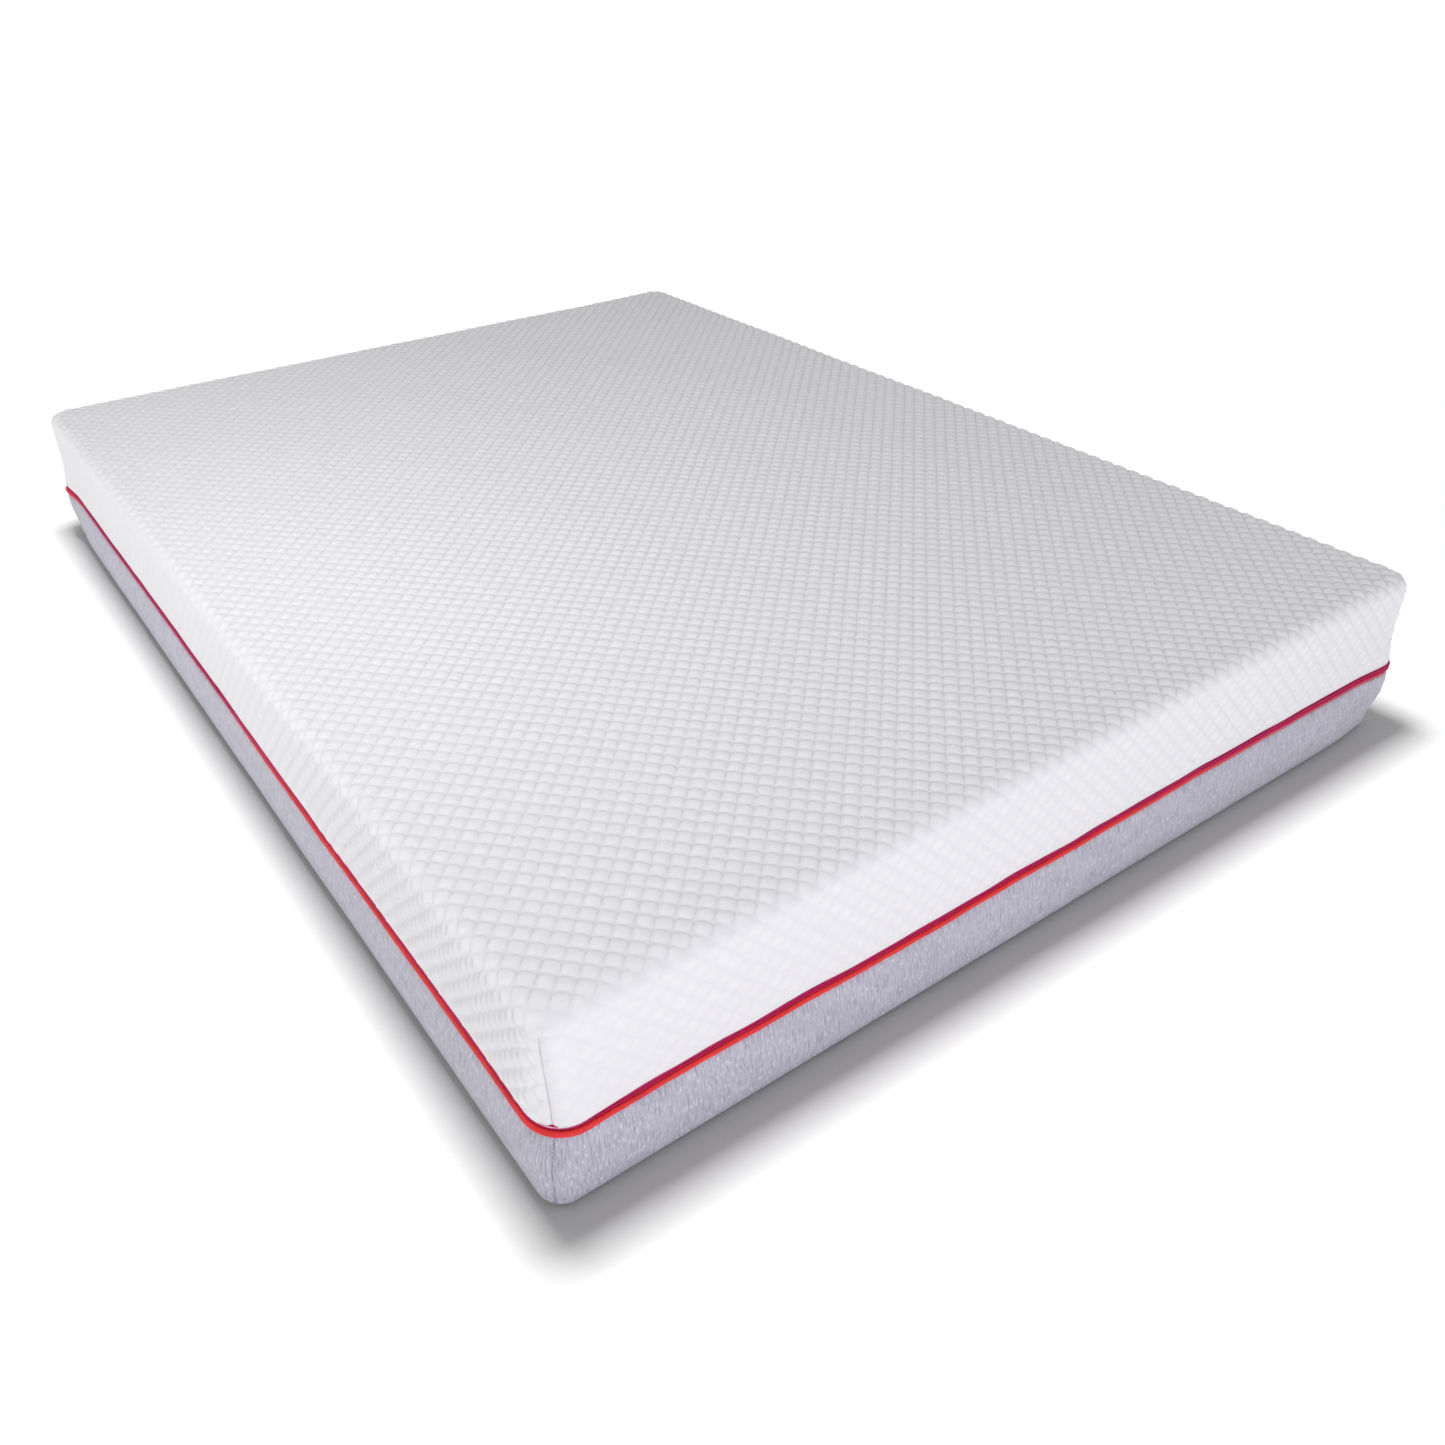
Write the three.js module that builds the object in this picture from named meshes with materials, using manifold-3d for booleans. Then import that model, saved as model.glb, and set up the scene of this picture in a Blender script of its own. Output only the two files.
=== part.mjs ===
// A memory foam mattress: a foam core of three layers in a thin inner sock, held in a knitted
// cover of two halves. The white top half comes off at a zip that runs right round, above a red
// piping that is sewn to the grey lower half.
//
// Millimetres, +Z up. X is the mattress's width and Y its length. The origin is on the floor,
// under the middle of the mattress.
//
// Wall pieces are drawn as a section and swept round the mattress. A point of a section is
// [inset, height]: inset counts inwards from the outermost line, height upwards from the floor.

import * as THREE from "three";
import { mergeVertices } from "three/addons/utils/BufferGeometryUtils.js";
import Module from "manifold-3d";

const wasm = await Module();
wasm.setup();

// ---------------------------------------------------------------- driving dimensions

const mattressWidth = 1400;
const mattressLength = 1900;
const mattressHeight = 250;
const cornerRadius = 48; // plan corner of the outermost line
const arcSteps = 8; // facets in each quarter turn, an even number
const pinFacets = 24; // facets of a small pin or hole
const smallCornerSteps = 3; // facets of a small plate's corner
const fitGap = 0.3; // between pieces that touch

const topKnitThickness = 6;
const topEdgeRadius = 20;
const borderClothThickness = 3;
const bottomEdgeRadius = 16;
const underClothThickness = 2.5;

const sockThickness = 1;
const sockRimWidth = 120; // of the sock's turned-under edge
const memoryFoamThickness = 50;
const transitionFoamThickness = 35;

const pipingHeight = 95; // of the piping's middle
const pipingDiameter = 6.4;
const pipingClothThickness = 0.5;
const pipingFlangeDrop = 15; // from the piping's middle to the flange's raw edge

const zipChannelHeight = 8; // from the piping's top to the top cover's hem
const tapeThickness = 0.6;
const tapeWidth = 16;
const coilWidth = 1.8;
const coilThickness = 2.4;
const coilSpacing = 1.2; // between the two coils, for the slider's post
const coilCornerCut = 0.5;

const zipJoinX = -620; // where the zip and the piping start and end, on the rear side
const joinSpace = 1; // between the two ends of a piece that runs right round
const retainerLength = 8;
const retainerWall = 0.5;
const retainerBackWall = 0.4;
const endStopLength = 2.4;

const sliderLength = 14;
const sliderPlateThickness = 1;
const sliderPostThickness = 0.5;
const sliderLipThickness = 0.45;
const sliderOverhang = 0.7; // of the slider's plates, past each coil
const sliderCornerRadius = 1.4;
const earThickness = 1;
const earHalfLength = 1.9;
const pivotDiameter = 1.2;
const pivotPlay = 0.35; // all round the pivot, in the pull's eye
const eyeWall = 0.7;
const pullLength = 24;
const pullWidth = 5.6;
const pullThickness = 1.2;
const pullShoulder = 2.8; // from the pivot to where the pull widens
const pullHoleDiameter = 2.6;

// ---------------------------------------------------------------- derived lines

// Insets, from outside inwards.
const pipingRadius = pipingDiameter / 2;
const flangeThickness = 2 * pipingClothThickness + fitGap;
const coverInset = pipingDiameter + fitGap + flangeThickness; // inner face of both halves
const topKnitInset = coverInset - topKnitThickness;
const borderInset = coverInset - borderClothThickness;
const borderHemInset = coverInset - flangeThickness - fitGap;
const tapeInset = coverInset + fitGap;
const tapeBackInset = tapeInset + tapeThickness;
const coilBackInset = tapeInset - fitGap;
const coilInset = coilBackInset - coilThickness;
const sliderFaceInset = coilInset - fitGap - sliderPlateThickness;
const sliderBackInset = tapeBackInset + fitGap;
const sockInset = sliderBackInset + sliderPlateThickness + fitGap;
const coreInset = sockInset + sockThickness + fitGap;

// Heights, from the floor up.
const pipingTop = pipingHeight + pipingRadius;
const borderTop = pipingHeight - pipingRadius - fitGap;
const flangeBottom = pipingHeight - pipingFlangeDrop;
const borderHemBottom = flangeBottom - fitGap;
const hemHeight = pipingTop + zipChannelHeight;
const chainHeight = (pipingTop + hemHeight) / 2;
const sockBottom = underClothThickness + fitGap;
const coreBottom = sockBottom + sockThickness + fitGap;
const sockTop = mattressHeight - topKnitThickness - fitGap;
const coreTop = sockTop - sockThickness - fitGap;
const memoryFoamBottom = coreTop - memoryFoamThickness;
const transitionFoamTop = memoryFoamBottom - fitGap;
const transitionFoamBottom = transitionFoamTop - transitionFoamThickness;
const supportFoamTop = transitionFoamBottom - fitGap;

// Edge rounding of what lies inside the cover.
const sockEdgeRadius = topEdgeRadius - topKnitThickness - fitGap;
const coreEdgeRadius = sockEdgeRadius - sockThickness - fitGap;

// Along the rear side: the chain starts at the retainer box and ends at the end stops.
const coilStart = joinSpace / 2 + retainerLength + fitGap;
const coilEnd = joinSpace / 2 + endStopLength + fitGap;
const sliderX = zipJoinX + coilEnd + fitGap + sliderLength / 2;

// ---------------------------------------------------------------- solids

// A closed three.js geometry as a manifold-3d solid.
function solid(geometry) {
  geometry.deleteAttribute("normal");
  geometry.deleteAttribute("uv");
  const merged = mergeVertices(geometry, 1e-4);
  return new wasm.Manifold(
    new wasm.Mesh({
      numProp: 3,
      vertProperties: merged.attributes.position.array,
      triVerts: new Uint32Array(merged.index.array),
    }),
  );
}

// A manifold-3d solid as a three.js geometry.
function geometryOf(manifold) {
  const mesh = manifold.getMesh();
  const geometry = new THREE.BufferGeometry();
  geometry.setAttribute("position", new THREE.BufferAttribute(mesh.vertProperties, 3));
  geometry.setIndex(new THREE.BufferAttribute(mesh.triVerts, 1));
  return geometry;
}

// The mattress's plan outline, moved inwards by inset.
function planOutline(inset) {
  const x = mattressWidth / 2 - cornerRadius;
  const y = mattressLength / 2 - cornerRadius;
  const radius = cornerRadius - inset;
  const outline = new THREE.Shape();
  outline.absarc(x, y, radius, 0, Math.PI / 2);
  outline.absarc(-x, y, radius, Math.PI / 2, Math.PI);
  outline.absarc(-x, -y, radius, Math.PI, 1.5 * Math.PI);
  outline.absarc(x, -y, radius, 1.5 * Math.PI, 2 * Math.PI);
  return outline;
}

// A block of the mattress's outline with square edges.
function squareBlock(inset, bottom, top) {
  const geometry = new THREE.ExtrudeGeometry(planOutline(inset), {
    depth: top - bottom,
    bevelEnabled: false,
    curveSegments: arcSteps / 2,
  });
  return geometry.translate(0, 0, bottom);
}

// A block of the mattress's outline with its upper and lower edges rounded over.
function roundedBlock(inset, bottom, top, edgeRadius) {
  const geometry = new THREE.ExtrudeGeometry(planOutline(inset), {
    depth: top - bottom - 2 * edgeRadius,
    bevelThickness: edgeRadius,
    bevelSize: edgeRadius,
    bevelOffset: -edgeRadius,
    bevelSegments: arcSteps / 2,
    curveSegments: arcSteps / 2,
  });
  return geometry.translate(0, 0, bottom + edgeRadius);
}

// A rounded block whose rounded lower edge is left square: the rounding stays at the top.
function crownedBlock(inset, bottom, top, edgeRadius) {
  const whole = solid(roundedBlock(inset, bottom - 2 * edgeRadius, top, edgeRadius));
  return whole.subtract(solid(squareBlock(0, bottom - 3 * edgeRadius, bottom)));
}

// A rounded block whose rounding stays at the bottom.
function dishedBlock(inset, bottom, top, edgeRadius) {
  const whole = solid(roundedBlock(inset, bottom, top + 2 * edgeRadius, edgeRadius));
  return whole.subtract(solid(squareBlock(0, top, top + 3 * edgeRadius)));
}

// The outermost line, run counter-clockwise from the join on the rear side back to it, less a
// length at each end. Equal steps of the curve's parameter are its stations: both ends, and the
// facet corners of each turn, so that long straight sides take one step.
class PerimeterPath extends THREE.Curve {
  constructor(startTrim, endTrim) {
    super();
    const rear = mattressLength / 2;
    this.stations = [];
    this.addStation(zipJoinX - startTrim, rear, Math.PI);
    const middles = [
      [-1, 1],
      [-1, -1],
      [1, -1],
      [1, 1],
    ];
    middles.forEach(([sideX, sideY], corner) => {
      const x = sideX * (mattressWidth / 2 - cornerRadius);
      const y = sideY * (mattressLength / 2 - cornerRadius);
      for (let step = 0; step <= arcSteps; step++) {
        const angle = ((corner + 1 + step / arcSteps) * Math.PI) / 2;
        const outX = x + cornerRadius * Math.cos(angle);
        const outY = y + cornerRadius * Math.sin(angle);
        this.addStation(outX, outY, angle + Math.PI / 2);
      }
    });
    this.addStation(zipJoinX + endTrim, rear, Math.PI);
    this.steps = this.stations.length - 1;
  }

  addStation(x, y, heading) {
    const tangent = new THREE.Vector3(Math.cos(heading), Math.sin(heading), 0);
    this.stations.push({ point: new THREE.Vector3(x, y, 0), tangent });
  }

  getPoint(t, target = new THREE.Vector3()) {
    return target.copy(this.stations[Math.round(t * this.steps)].point);
  }

  getTangent(t, target = new THREE.Vector3()) {
    return target.copy(this.stations[Math.round(t * this.steps)].tangent);
  }

  getPointAt(t, target) {
    return this.getPoint(t, target);
  }

  getTangentAt(t, target) {
    return this.getTangent(t, target);
  }
}

// A section of [inset, height] points, swept along the outermost line.
function sweep(section, path) {
  const outline = new THREE.Shape(
    section.map(([inset, height]) => new THREE.Vector2(-height, inset)),
  );
  return new THREE.ExtrudeGeometry(outline, { steps: path.steps, extrudePath: path });
}

// The closed outline of a strip of cloth that follows a line of points.
function stripOutline(line, thickness) {
  const points = line.map(([inset, height]) => new THREE.Vector2(inset, height));
  const headings = points.slice(1).map((point, i) => point.clone().sub(points[i]).normalize());
  const side = (sign) =>
    points.map((point, i) => {
      const before = headings[Math.max(i - 1, 0)];
      const after = headings[Math.min(i, headings.length - 1)];
      const along = before.clone().add(after).normalize();
      const reach = (sign * thickness) / 2 / along.dot(after);
      return [point.x - reach * along.y, point.y + reach * along.x];
    });
  return [...side(1), ...side(-1).reverse()];
}

// A rectangle of a section with its corners cut off.
function cutRectangle(inset, backInset, bottom, top, cut) {
  return [
    [inset + cut, bottom],
    [backInset - cut, bottom],
    [backInset, bottom + cut],
    [backInset, top - cut],
    [backInset - cut, top],
    [inset + cut, top],
    [inset, top - cut],
    [inset, bottom + cut],
  ];
}

// A box on the rear side, from its span along X, its insets and its heights.
function rearBox(startX, endX, inset, backInset, bottom, top) {
  const geometry = new THREE.BoxGeometry(endX - startX, backInset - inset, top - bottom);
  const y = mattressLength / 2 - (inset + backInset) / 2;
  return solid(geometry.translate((startX + endX) / 2, y, (bottom + top) / 2));
}

// An upright cylinder on the rear side.
function rearCylinder(x, inset, radius, bottom, top) {
  const geometry = new THREE.CylinderGeometry(radius, radius, top - bottom, pinFacets);
  geometry.rotateX(Math.PI / 2);
  return solid(geometry.translate(x, mattressLength / 2 - inset, (bottom + top) / 2));
}

// A plate on the rear side that stands upright, with rounded corners.
function rearPlate(startX, endX, inset, backInset, bottom, top, radius) {
  const outline = new THREE.Shape();
  outline.absarc(endX - radius, top - radius, radius, 0, Math.PI / 2);
  outline.absarc(startX + radius, top - radius, radius, Math.PI / 2, Math.PI);
  outline.absarc(startX + radius, bottom + radius, radius, Math.PI, 1.5 * Math.PI);
  outline.absarc(endX - radius, bottom + radius, radius, 1.5 * Math.PI, 2 * Math.PI);
  const geometry = new THREE.ExtrudeGeometry(outline, {
    depth: backInset - inset,
    bevelEnabled: false,
    curveSegments: smallCornerSteps,
  });
  geometry.rotateX(Math.PI / 2);
  return solid(geometry.translate(0, mattressLength / 2 - inset, 0));
}

// ---------------------------------------------------------------- the cover

// White bubble knit in one piece over the sleep surface and down all four sides.
function topCover() {
  const outside = crownedBlock(topKnitInset, hemHeight, mattressHeight, topEdgeRadius);
  const insideTop = mattressHeight - topKnitThickness;
  const insideRadius = topEdgeRadius - topKnitThickness;
  const inside = crownedBlock(coverInset, borderTop, insideTop, insideRadius);
  return geometryOf(outside.subtract(inside));
}

// Grey knit tray: the underside and the lower border, thinner at the hem behind the piping.
function baseCover() {
  const outside = dishedBlock(borderInset, 0, borderTop, bottomEdgeRadius);
  const insideRadius = bottomEdgeRadius - borderClothThickness;
  const inside = dishedBlock(coverInset, underClothThickness, pipingTop, insideRadius);
  const hemRecess = solid(squareBlock(borderHemInset, borderHemBottom, pipingTop));
  return geometryOf(outside.subtract(inside).subtract(hemRecess));
}

// Red cloth wrapped round the piping's cord, its two plies sewn down inside the border's hem.
function pipingWrap() {
  const wrapRadius = pipingRadius - pipingClothThickness / 2;
  const outerPlyInset = borderHemInset + fitGap + pipingClothThickness / 2;
  const innerPlyInset = outerPlyInset + pipingClothThickness + fitGap;
  const outerPlyTop = borderTop + pipingClothThickness;
  const innerPlyTop = pipingHeight - wrapRadius / 4;
  const lowerSlitAngle = THREE.MathUtils.degToRad(-35);
  const wrapAngle = THREE.MathUtils.degToRad(-310);
  const wrapSteps = 12;
  const line = [
    [outerPlyInset, flangeBottom],
    [outerPlyInset, outerPlyTop],
  ];
  for (let step = 0; step <= wrapSteps; step++) {
    const angle = lowerSlitAngle + (wrapAngle * step) / wrapSteps;
    line.push([
      pipingRadius + wrapRadius * Math.cos(angle),
      pipingHeight + wrapRadius * Math.sin(angle),
    ]);
  }
  line.push([innerPlyInset, innerPlyTop], [innerPlyInset, flangeBottom]);
  const path = new PerimeterPath(joinSpace / 2, joinSpace / 2);
  return sweep(stripOutline(line, pipingClothThickness), path);
}

// The filler cord inside the piping.
function pipingCord() {
  const radius = pipingRadius - pipingClothThickness - fitGap;
  const facets = 10;
  const section = [];
  for (let facet = 0; facet < facets; facet++) {
    const angle = (facet / facets) * 2 * Math.PI;
    section.push([
      pipingRadius + radius * Math.cos(angle),
      pipingHeight + radius * Math.sin(angle),
    ]);
  }
  return sweep(section, new PerimeterPath(joinSpace / 2, joinSpace / 2));
}

// ---------------------------------------------------------------- the zip

// One of the zip's two woven tapes. side is 1 for the upper one and -1 for the lower one.
function zipTape(side) {
  const inner = chainHeight + (side * coilSpacing) / 2;
  const outer = inner + side * tapeWidth;
  const section = cutRectangle(
    tapeInset,
    tapeBackInset,
    Math.min(inner, outer),
    Math.max(inner, outer),
    tapeThickness / 4,
  );
  return sweep(section, new PerimeterPath(joinSpace / 2, joinSpace / 2));
}

// One of the zip's two coils, as the outline that its turns fill.
function zipCoil(side) {
  const inner = chainHeight + (side * coilSpacing) / 2;
  const outer = inner + side * coilWidth;
  const section = cutRectangle(
    coilInset,
    coilBackInset,
    Math.min(inner, outer),
    Math.max(inner, outer),
    coilCornerCut,
  );
  return sweep(section, new PerimeterPath(coilStart, coilEnd));
}

// The stop that ends one coil, so that the closed slider can't run off.
function endStop(side) {
  const startX = zipJoinX + joinSpace / 2;
  const inner = chainHeight + (side * coilSpacing) / 2;
  const outer = inner + side * coilWidth;
  return geometryOf(
    rearBox(
      startX,
      startX + endStopLength,
      coilInset,
      coilBackInset,
      Math.min(inner, outer),
      Math.max(inner, outer),
    ),
  );
}

// The box on the lower tape that the insertion pin stands in, open at the top.
function retainerBox() {
  const endX = zipJoinX - joinSpace / 2;
  const startX = endX - retainerLength;
  const floor = chainHeight - coilSpacing / 2;
  const rim = floor + coilSpacing + coilWidth;
  const bottom = floor - coilWidth;
  const body = rearBox(startX, endX, coilInset, coilBackInset, bottom, rim);
  const slot = rearBox(
    startX - retainerWall,
    endX + retainerWall,
    coilInset + retainerWall,
    coilBackInset - retainerBackWall,
    floor,
    rim + retainerWall,
  );
  return geometryOf(body.subtract(slot));
}

// The pin on the upper tape: a bar that stands in the retainer box, and the strap that holds it.
function insertionPin() {
  const endX = zipJoinX - joinSpace / 2;
  const startX = endX - retainerLength;
  const bottom = chainHeight + coilSpacing / 2;
  const strapBottom = bottom + coilWidth + fitGap;
  const top = hemHeight - fitGap;
  const barFace = coilInset + retainerWall + fitGap;
  const barBack = coilBackInset - retainerBackWall - fitGap;
  const bar = rearBox(startX, endX, barFace, barBack, bottom, top);
  const strap = rearBox(startX, endX, barFace, coilBackInset, strapBottom, top);
  return geometryOf(bar.add(strap));
}

// The slider: a front and a back plate joined by the post between the coils, a lip under the
// lower coil, and two ears with the pull's pivot. It is open at the top, where the upper tape
// leaves it.
function zipSlider() {
  const startX = sliderX - sliderLength / 2;
  const endX = sliderX + sliderLength / 2;
  const reach = coilSpacing / 2 + coilWidth + sliderOverhang;
  const bottom = chainHeight - reach;
  const top = chainHeight + reach;
  const frontBack = sliderFaceInset + sliderPlateThickness;
  const backFace = sliderBackInset + sliderPlateThickness;
  const radius = sliderCornerRadius;
  const front = rearPlate(startX, endX, sliderFaceInset, frontBack, bottom, top, radius);
  const back = rearPlate(startX, endX, sliderBackInset, backFace, bottom, top, radius);
  const post = rearBox(
    startX + radius,
    endX - radius,
    frontBack - sliderPlateThickness / 2,
    sliderBackInset + sliderPlateThickness / 2,
    chainHeight - sliderPostThickness / 2,
    chainHeight + sliderPostThickness / 2,
  );
  const lip = rearBox(
    startX + radius,
    endX - radius,
    frontBack - sliderPlateThickness / 2,
    tapeInset - fitGap,
    bottom,
    bottom + sliderLipThickness - fitGap / 2,
  );
  let slider = front.add(back).add(post).add(lip);
  for (const side of [1, -1]) {
    slider = slider.add(ear(side));
  }
  const pivotEnd = earInner() + earThickness / 2;
  const pivot = rearCylinder(
    pivotX(),
    pivotInset(),
    pivotDiameter / 2,
    chainHeight - pivotEnd,
    chainHeight + pivotEnd,
  );
  return geometryOf(slider.add(pivot));
}

// The pull's pivot is an upright pin near the slider's leading end.
function pivotX() {
  return sliderX - sliderLength / 4;
}

// The pivot stands far enough out for the pull's eye to turn clear of the slider's front plate.
function pivotInset() {
  return sliderFaceInset - fitGap - eyeRadius();
}

function eyeRadius() {
  return pivotDiameter / 2 + pivotPlay + eyeWall;
}

// From the zip's middle to an ear's inner face.
function earInner() {
  return pullWidth / 2 - earThickness - fitGap / 2;
}

function ear(side) {
  const inner = chainHeight + side * earInner();
  const outer = inner + side * earThickness;
  const outermost = pivotInset() - pivotDiameter / 2 - eyeWall / 2;
  const bottom = Math.min(inner, outer);
  const top = Math.max(inner, outer);
  const root = sliderFaceInset + sliderPlateThickness / 2;
  const startX = pivotX() - earHalfLength;
  const endX = pivotX() + earHalfLength;
  const roundEnd = rearCylinder(pivotX(), outermost + earHalfLength, earHalfLength, bottom, top);
  return roundEnd.add(rearBox(startX, endX, outermost + earHalfLength, root, bottom, top));
}

// The pull: an eye on the pivot, a neck between the ears, and a flat tab with a hole at its end.
function zipPull() {
  const x = pivotX();
  const inset = pivotInset();
  const eyeHalf = earInner() - fitGap;
  const face = inset - pullThickness / 2;
  const back = inset + pullThickness / 2;
  const tip = x - pullLength;
  const eye = rearCylinder(x, inset, eyeRadius(), chainHeight - eyeHalf, chainHeight + eyeHalf);
  const neck = rearBox(
    x - pullShoulder - pullThickness,
    x,
    face,
    back,
    chainHeight - eyeHalf,
    chainHeight + eyeHalf,
  );
  const tab = rearPlate(
    tip,
    x - pullShoulder,
    face,
    back,
    chainHeight - pullWidth / 2,
    chainHeight + pullWidth / 2,
    sliderCornerRadius,
  );
  const bore = rearCylinder(
    x,
    inset,
    pivotDiameter / 2 + pivotPlay,
    chainHeight - pullWidth,
    chainHeight + pullWidth,
  );
  const holeX = tip + pullWidth / 2;
  const hole = new THREE.CylinderGeometry(
    pullHoleDiameter / 2,
    pullHoleDiameter / 2,
    3 * pullThickness,
    pinFacets,
  ).translate(holeX, mattressLength / 2 - inset, chainHeight);
  return geometryOf(eye.add(neck).add(tab).subtract(bore).subtract(solid(hole)));
}

// ---------------------------------------------------------------- the core

// Thin knitted sock over the foam, like a fitted sheet: open underneath, inside its rim.
function innerSock() {
  const outside = solid(roundedBlock(sockInset, sockBottom, sockTop, sockEdgeRadius));
  const insideInset = sockInset + sockThickness;
  const insideBottom = sockBottom + sockThickness;
  const insideTop = sockTop - sockThickness;
  const insideRadius = sockEdgeRadius - sockThickness;
  const inside = solid(roundedBlock(insideInset, insideBottom, insideTop, insideRadius));
  const openingGeometry = new THREE.BoxGeometry(
    mattressWidth - 2 * (sockInset + sockRimWidth),
    mattressLength - 2 * (sockInset + sockRimWidth),
    4 * sockThickness,
  );
  const opening = solid(openingGeometry.translate(0, 0, sockBottom + sockThickness));
  return geometryOf(outside.subtract(inside).subtract(opening));
}

// The slow-recovery comfort layer, on top.
function memoryFoam() {
  return geometryOf(crownedBlock(coreInset, memoryFoamBottom, coreTop, coreEdgeRadius));
}

// The layer that eases from the soft foam to the firm one.
function transitionFoam() {
  return squareBlock(coreInset, transitionFoamBottom, transitionFoamTop);
}

// The firm, deep base layer.
function supportFoam() {
  return geometryOf(dishedBlock(coreInset, coreBottom, supportFoamTop, coreEdgeRadius));
}

// ---------------------------------------------------------------- the scene graph

function finish(color, roughness, metalness = 0) {
  return new THREE.MeshStandardMaterial({ color, roughness, metalness });
}

const part = new THREE.Group();

function addMesh(name, geometry, material) {
  const mesh = new THREE.Mesh(geometry, material);
  mesh.name = name;
  part.add(mesh);
}

addMesh("top_cover", topCover(), finish("#e9e9f0", 0.9));
addMesh("base_cover", baseCover(), finish("#b9b7c6", 0.95));
addMesh("piping_wrap", pipingWrap(), finish("#e8303a", 0.7));
addMesh("piping_cord", pipingCord(), finish("#f0eee8", 0.9));
addMesh("upper_zip_tape", zipTape(1), finish("#96003f", 0.8));
addMesh("lower_zip_tape", zipTape(-1), finish("#96003f", 0.8));
addMesh("upper_zip_coil", zipCoil(1), finish("#8c0a4a", 0.45));
addMesh("lower_zip_coil", zipCoil(-1), finish("#8c0a4a", 0.45));
addMesh("upper_end_stop", endStop(1), finish("#8c0a4a", 0.4));
addMesh("lower_end_stop", endStop(-1), finish("#8c0a4a", 0.4));
addMesh("retainer_box", retainerBox(), finish("#8c0a4a", 0.4));
addMesh("insertion_pin", insertionPin(), finish("#8c0a4a", 0.4));
addMesh("zip_slider", zipSlider(), finish("#7d1038", 0.4, 0.6));
addMesh("zip_pull", zipPull(), finish("#7d1038", 0.4, 0.6));
addMesh("inner_sock", innerSock(), finish("#f3f2ee", 0.95));
addMesh("memory_foam_layer", memoryFoam(), finish("#f6f1dc", 0.9));
addMesh("transition_foam_layer", transitionFoam(), finish("#dfe7ee", 0.9));
addMesh("support_foam_base", supportFoam(), finish("#f2f2f0", 0.9));

export default part;
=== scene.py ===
"""Looks of a zip-covered memory foam mattress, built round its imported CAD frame.

A white bubble-knit cover half and a grey melange tray meet at a red piping and a crimson zip, round a
sock and three foam layers. Sizes are millimetres in the classes and metres in the meshes. Round the
mattress, a place is an arc length from the middle of the rear side, an inset from the outer outline
and a height over the floor.
"""
from __future__ import annotations

import logging
import math
from dataclasses import dataclass, field
from enum import Enum, IntEnum

import bpy
import numpy as np
from mathutils import Euler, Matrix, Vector

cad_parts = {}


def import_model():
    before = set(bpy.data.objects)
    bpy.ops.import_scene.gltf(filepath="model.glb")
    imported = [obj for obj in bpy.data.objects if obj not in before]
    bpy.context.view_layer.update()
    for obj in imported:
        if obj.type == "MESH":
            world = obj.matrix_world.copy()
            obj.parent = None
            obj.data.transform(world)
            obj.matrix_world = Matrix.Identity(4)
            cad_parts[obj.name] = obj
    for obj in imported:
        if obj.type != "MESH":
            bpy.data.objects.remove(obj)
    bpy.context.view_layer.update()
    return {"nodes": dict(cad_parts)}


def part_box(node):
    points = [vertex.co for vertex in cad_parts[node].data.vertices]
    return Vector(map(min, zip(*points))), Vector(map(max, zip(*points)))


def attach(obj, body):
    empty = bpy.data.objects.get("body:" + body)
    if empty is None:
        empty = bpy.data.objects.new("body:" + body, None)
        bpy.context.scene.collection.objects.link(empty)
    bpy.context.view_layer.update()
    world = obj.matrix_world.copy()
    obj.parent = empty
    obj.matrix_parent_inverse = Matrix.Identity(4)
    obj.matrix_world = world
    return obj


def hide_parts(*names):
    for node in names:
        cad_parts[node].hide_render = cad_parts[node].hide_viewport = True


Piece = bpy.types.Object
Tree = bpy.types.NodeTree
Socket = bpy.types.NodeSocket

MM = 0.001
TINY = 1e-9
LOG = logging.getLogger("mattress")


# ---------------------------------------------------------------- numbers and meshes


def smoothstep(low: float, high: float, value: np.ndarray) -> np.ndarray:
    """Rises smoothly from 0 at low to 1 at high."""
    share = np.clip((value - low) / (high - low), 0.0, 1.0)
    return share * share * (3.0 - 2.0 * share)


def bell(distance: np.ndarray, width: float) -> np.ndarray:
    """A bell curve of height 1 that has mostly died away at two widths."""
    return np.exp(-((distance / width) ** 2))


@dataclass
class Ripple:
    """A smooth, seeded unevenness that closes on itself after one turn round the mattress.

    Attributes:
        seed: Picks the unevenness.
        turn: Length of one turn, mm.
        longest: Longest wave, mm.
        shortest: Shortest wave, mm.
        waves: How many waves are added up.
    """

    seed: int
    turn: float
    longest: float
    shortest: float
    waves: int = 9

    def __post_init__(self) -> None:
        """Draws each wave's count per turn, start and share."""
        draw = np.random.default_rng(self.seed)
        lengths = np.geomspace(self.longest, self.shortest, self.waves)
        self.counts = np.round(self.turn / lengths)
        self.starts = draw.uniform(0.0, 2.0 * math.pi, self.waves)
        self.slants = draw.normal(0.0, 1.0, self.waves) / lengths * 2.0 * math.pi
        self.shares = draw.uniform(0.5, 1.0, self.waves) * np.sqrt(lengths / self.longest)
        self.shares /= np.sqrt((self.shares**2).sum() / 2.0)

    def at(self, along: np.ndarray, across: np.ndarray | float = 0.0) -> np.ndarray:
        """Gives the unevenness, about -2 to 2 with a mean square of 1.

        Args:
            along: Arc lengths, mm.
            across: Second coordinate, mm.

        Returns:
            One value for each place.
        """
        total = np.zeros(np.broadcast(along, across).shape)
        for count, start, slant, share in zip(self.counts, self.starts, self.slants, self.shares):
            total += share * np.sin(2.0 * math.pi * count * along / self.turn + start + slant * across)
        return total


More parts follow.
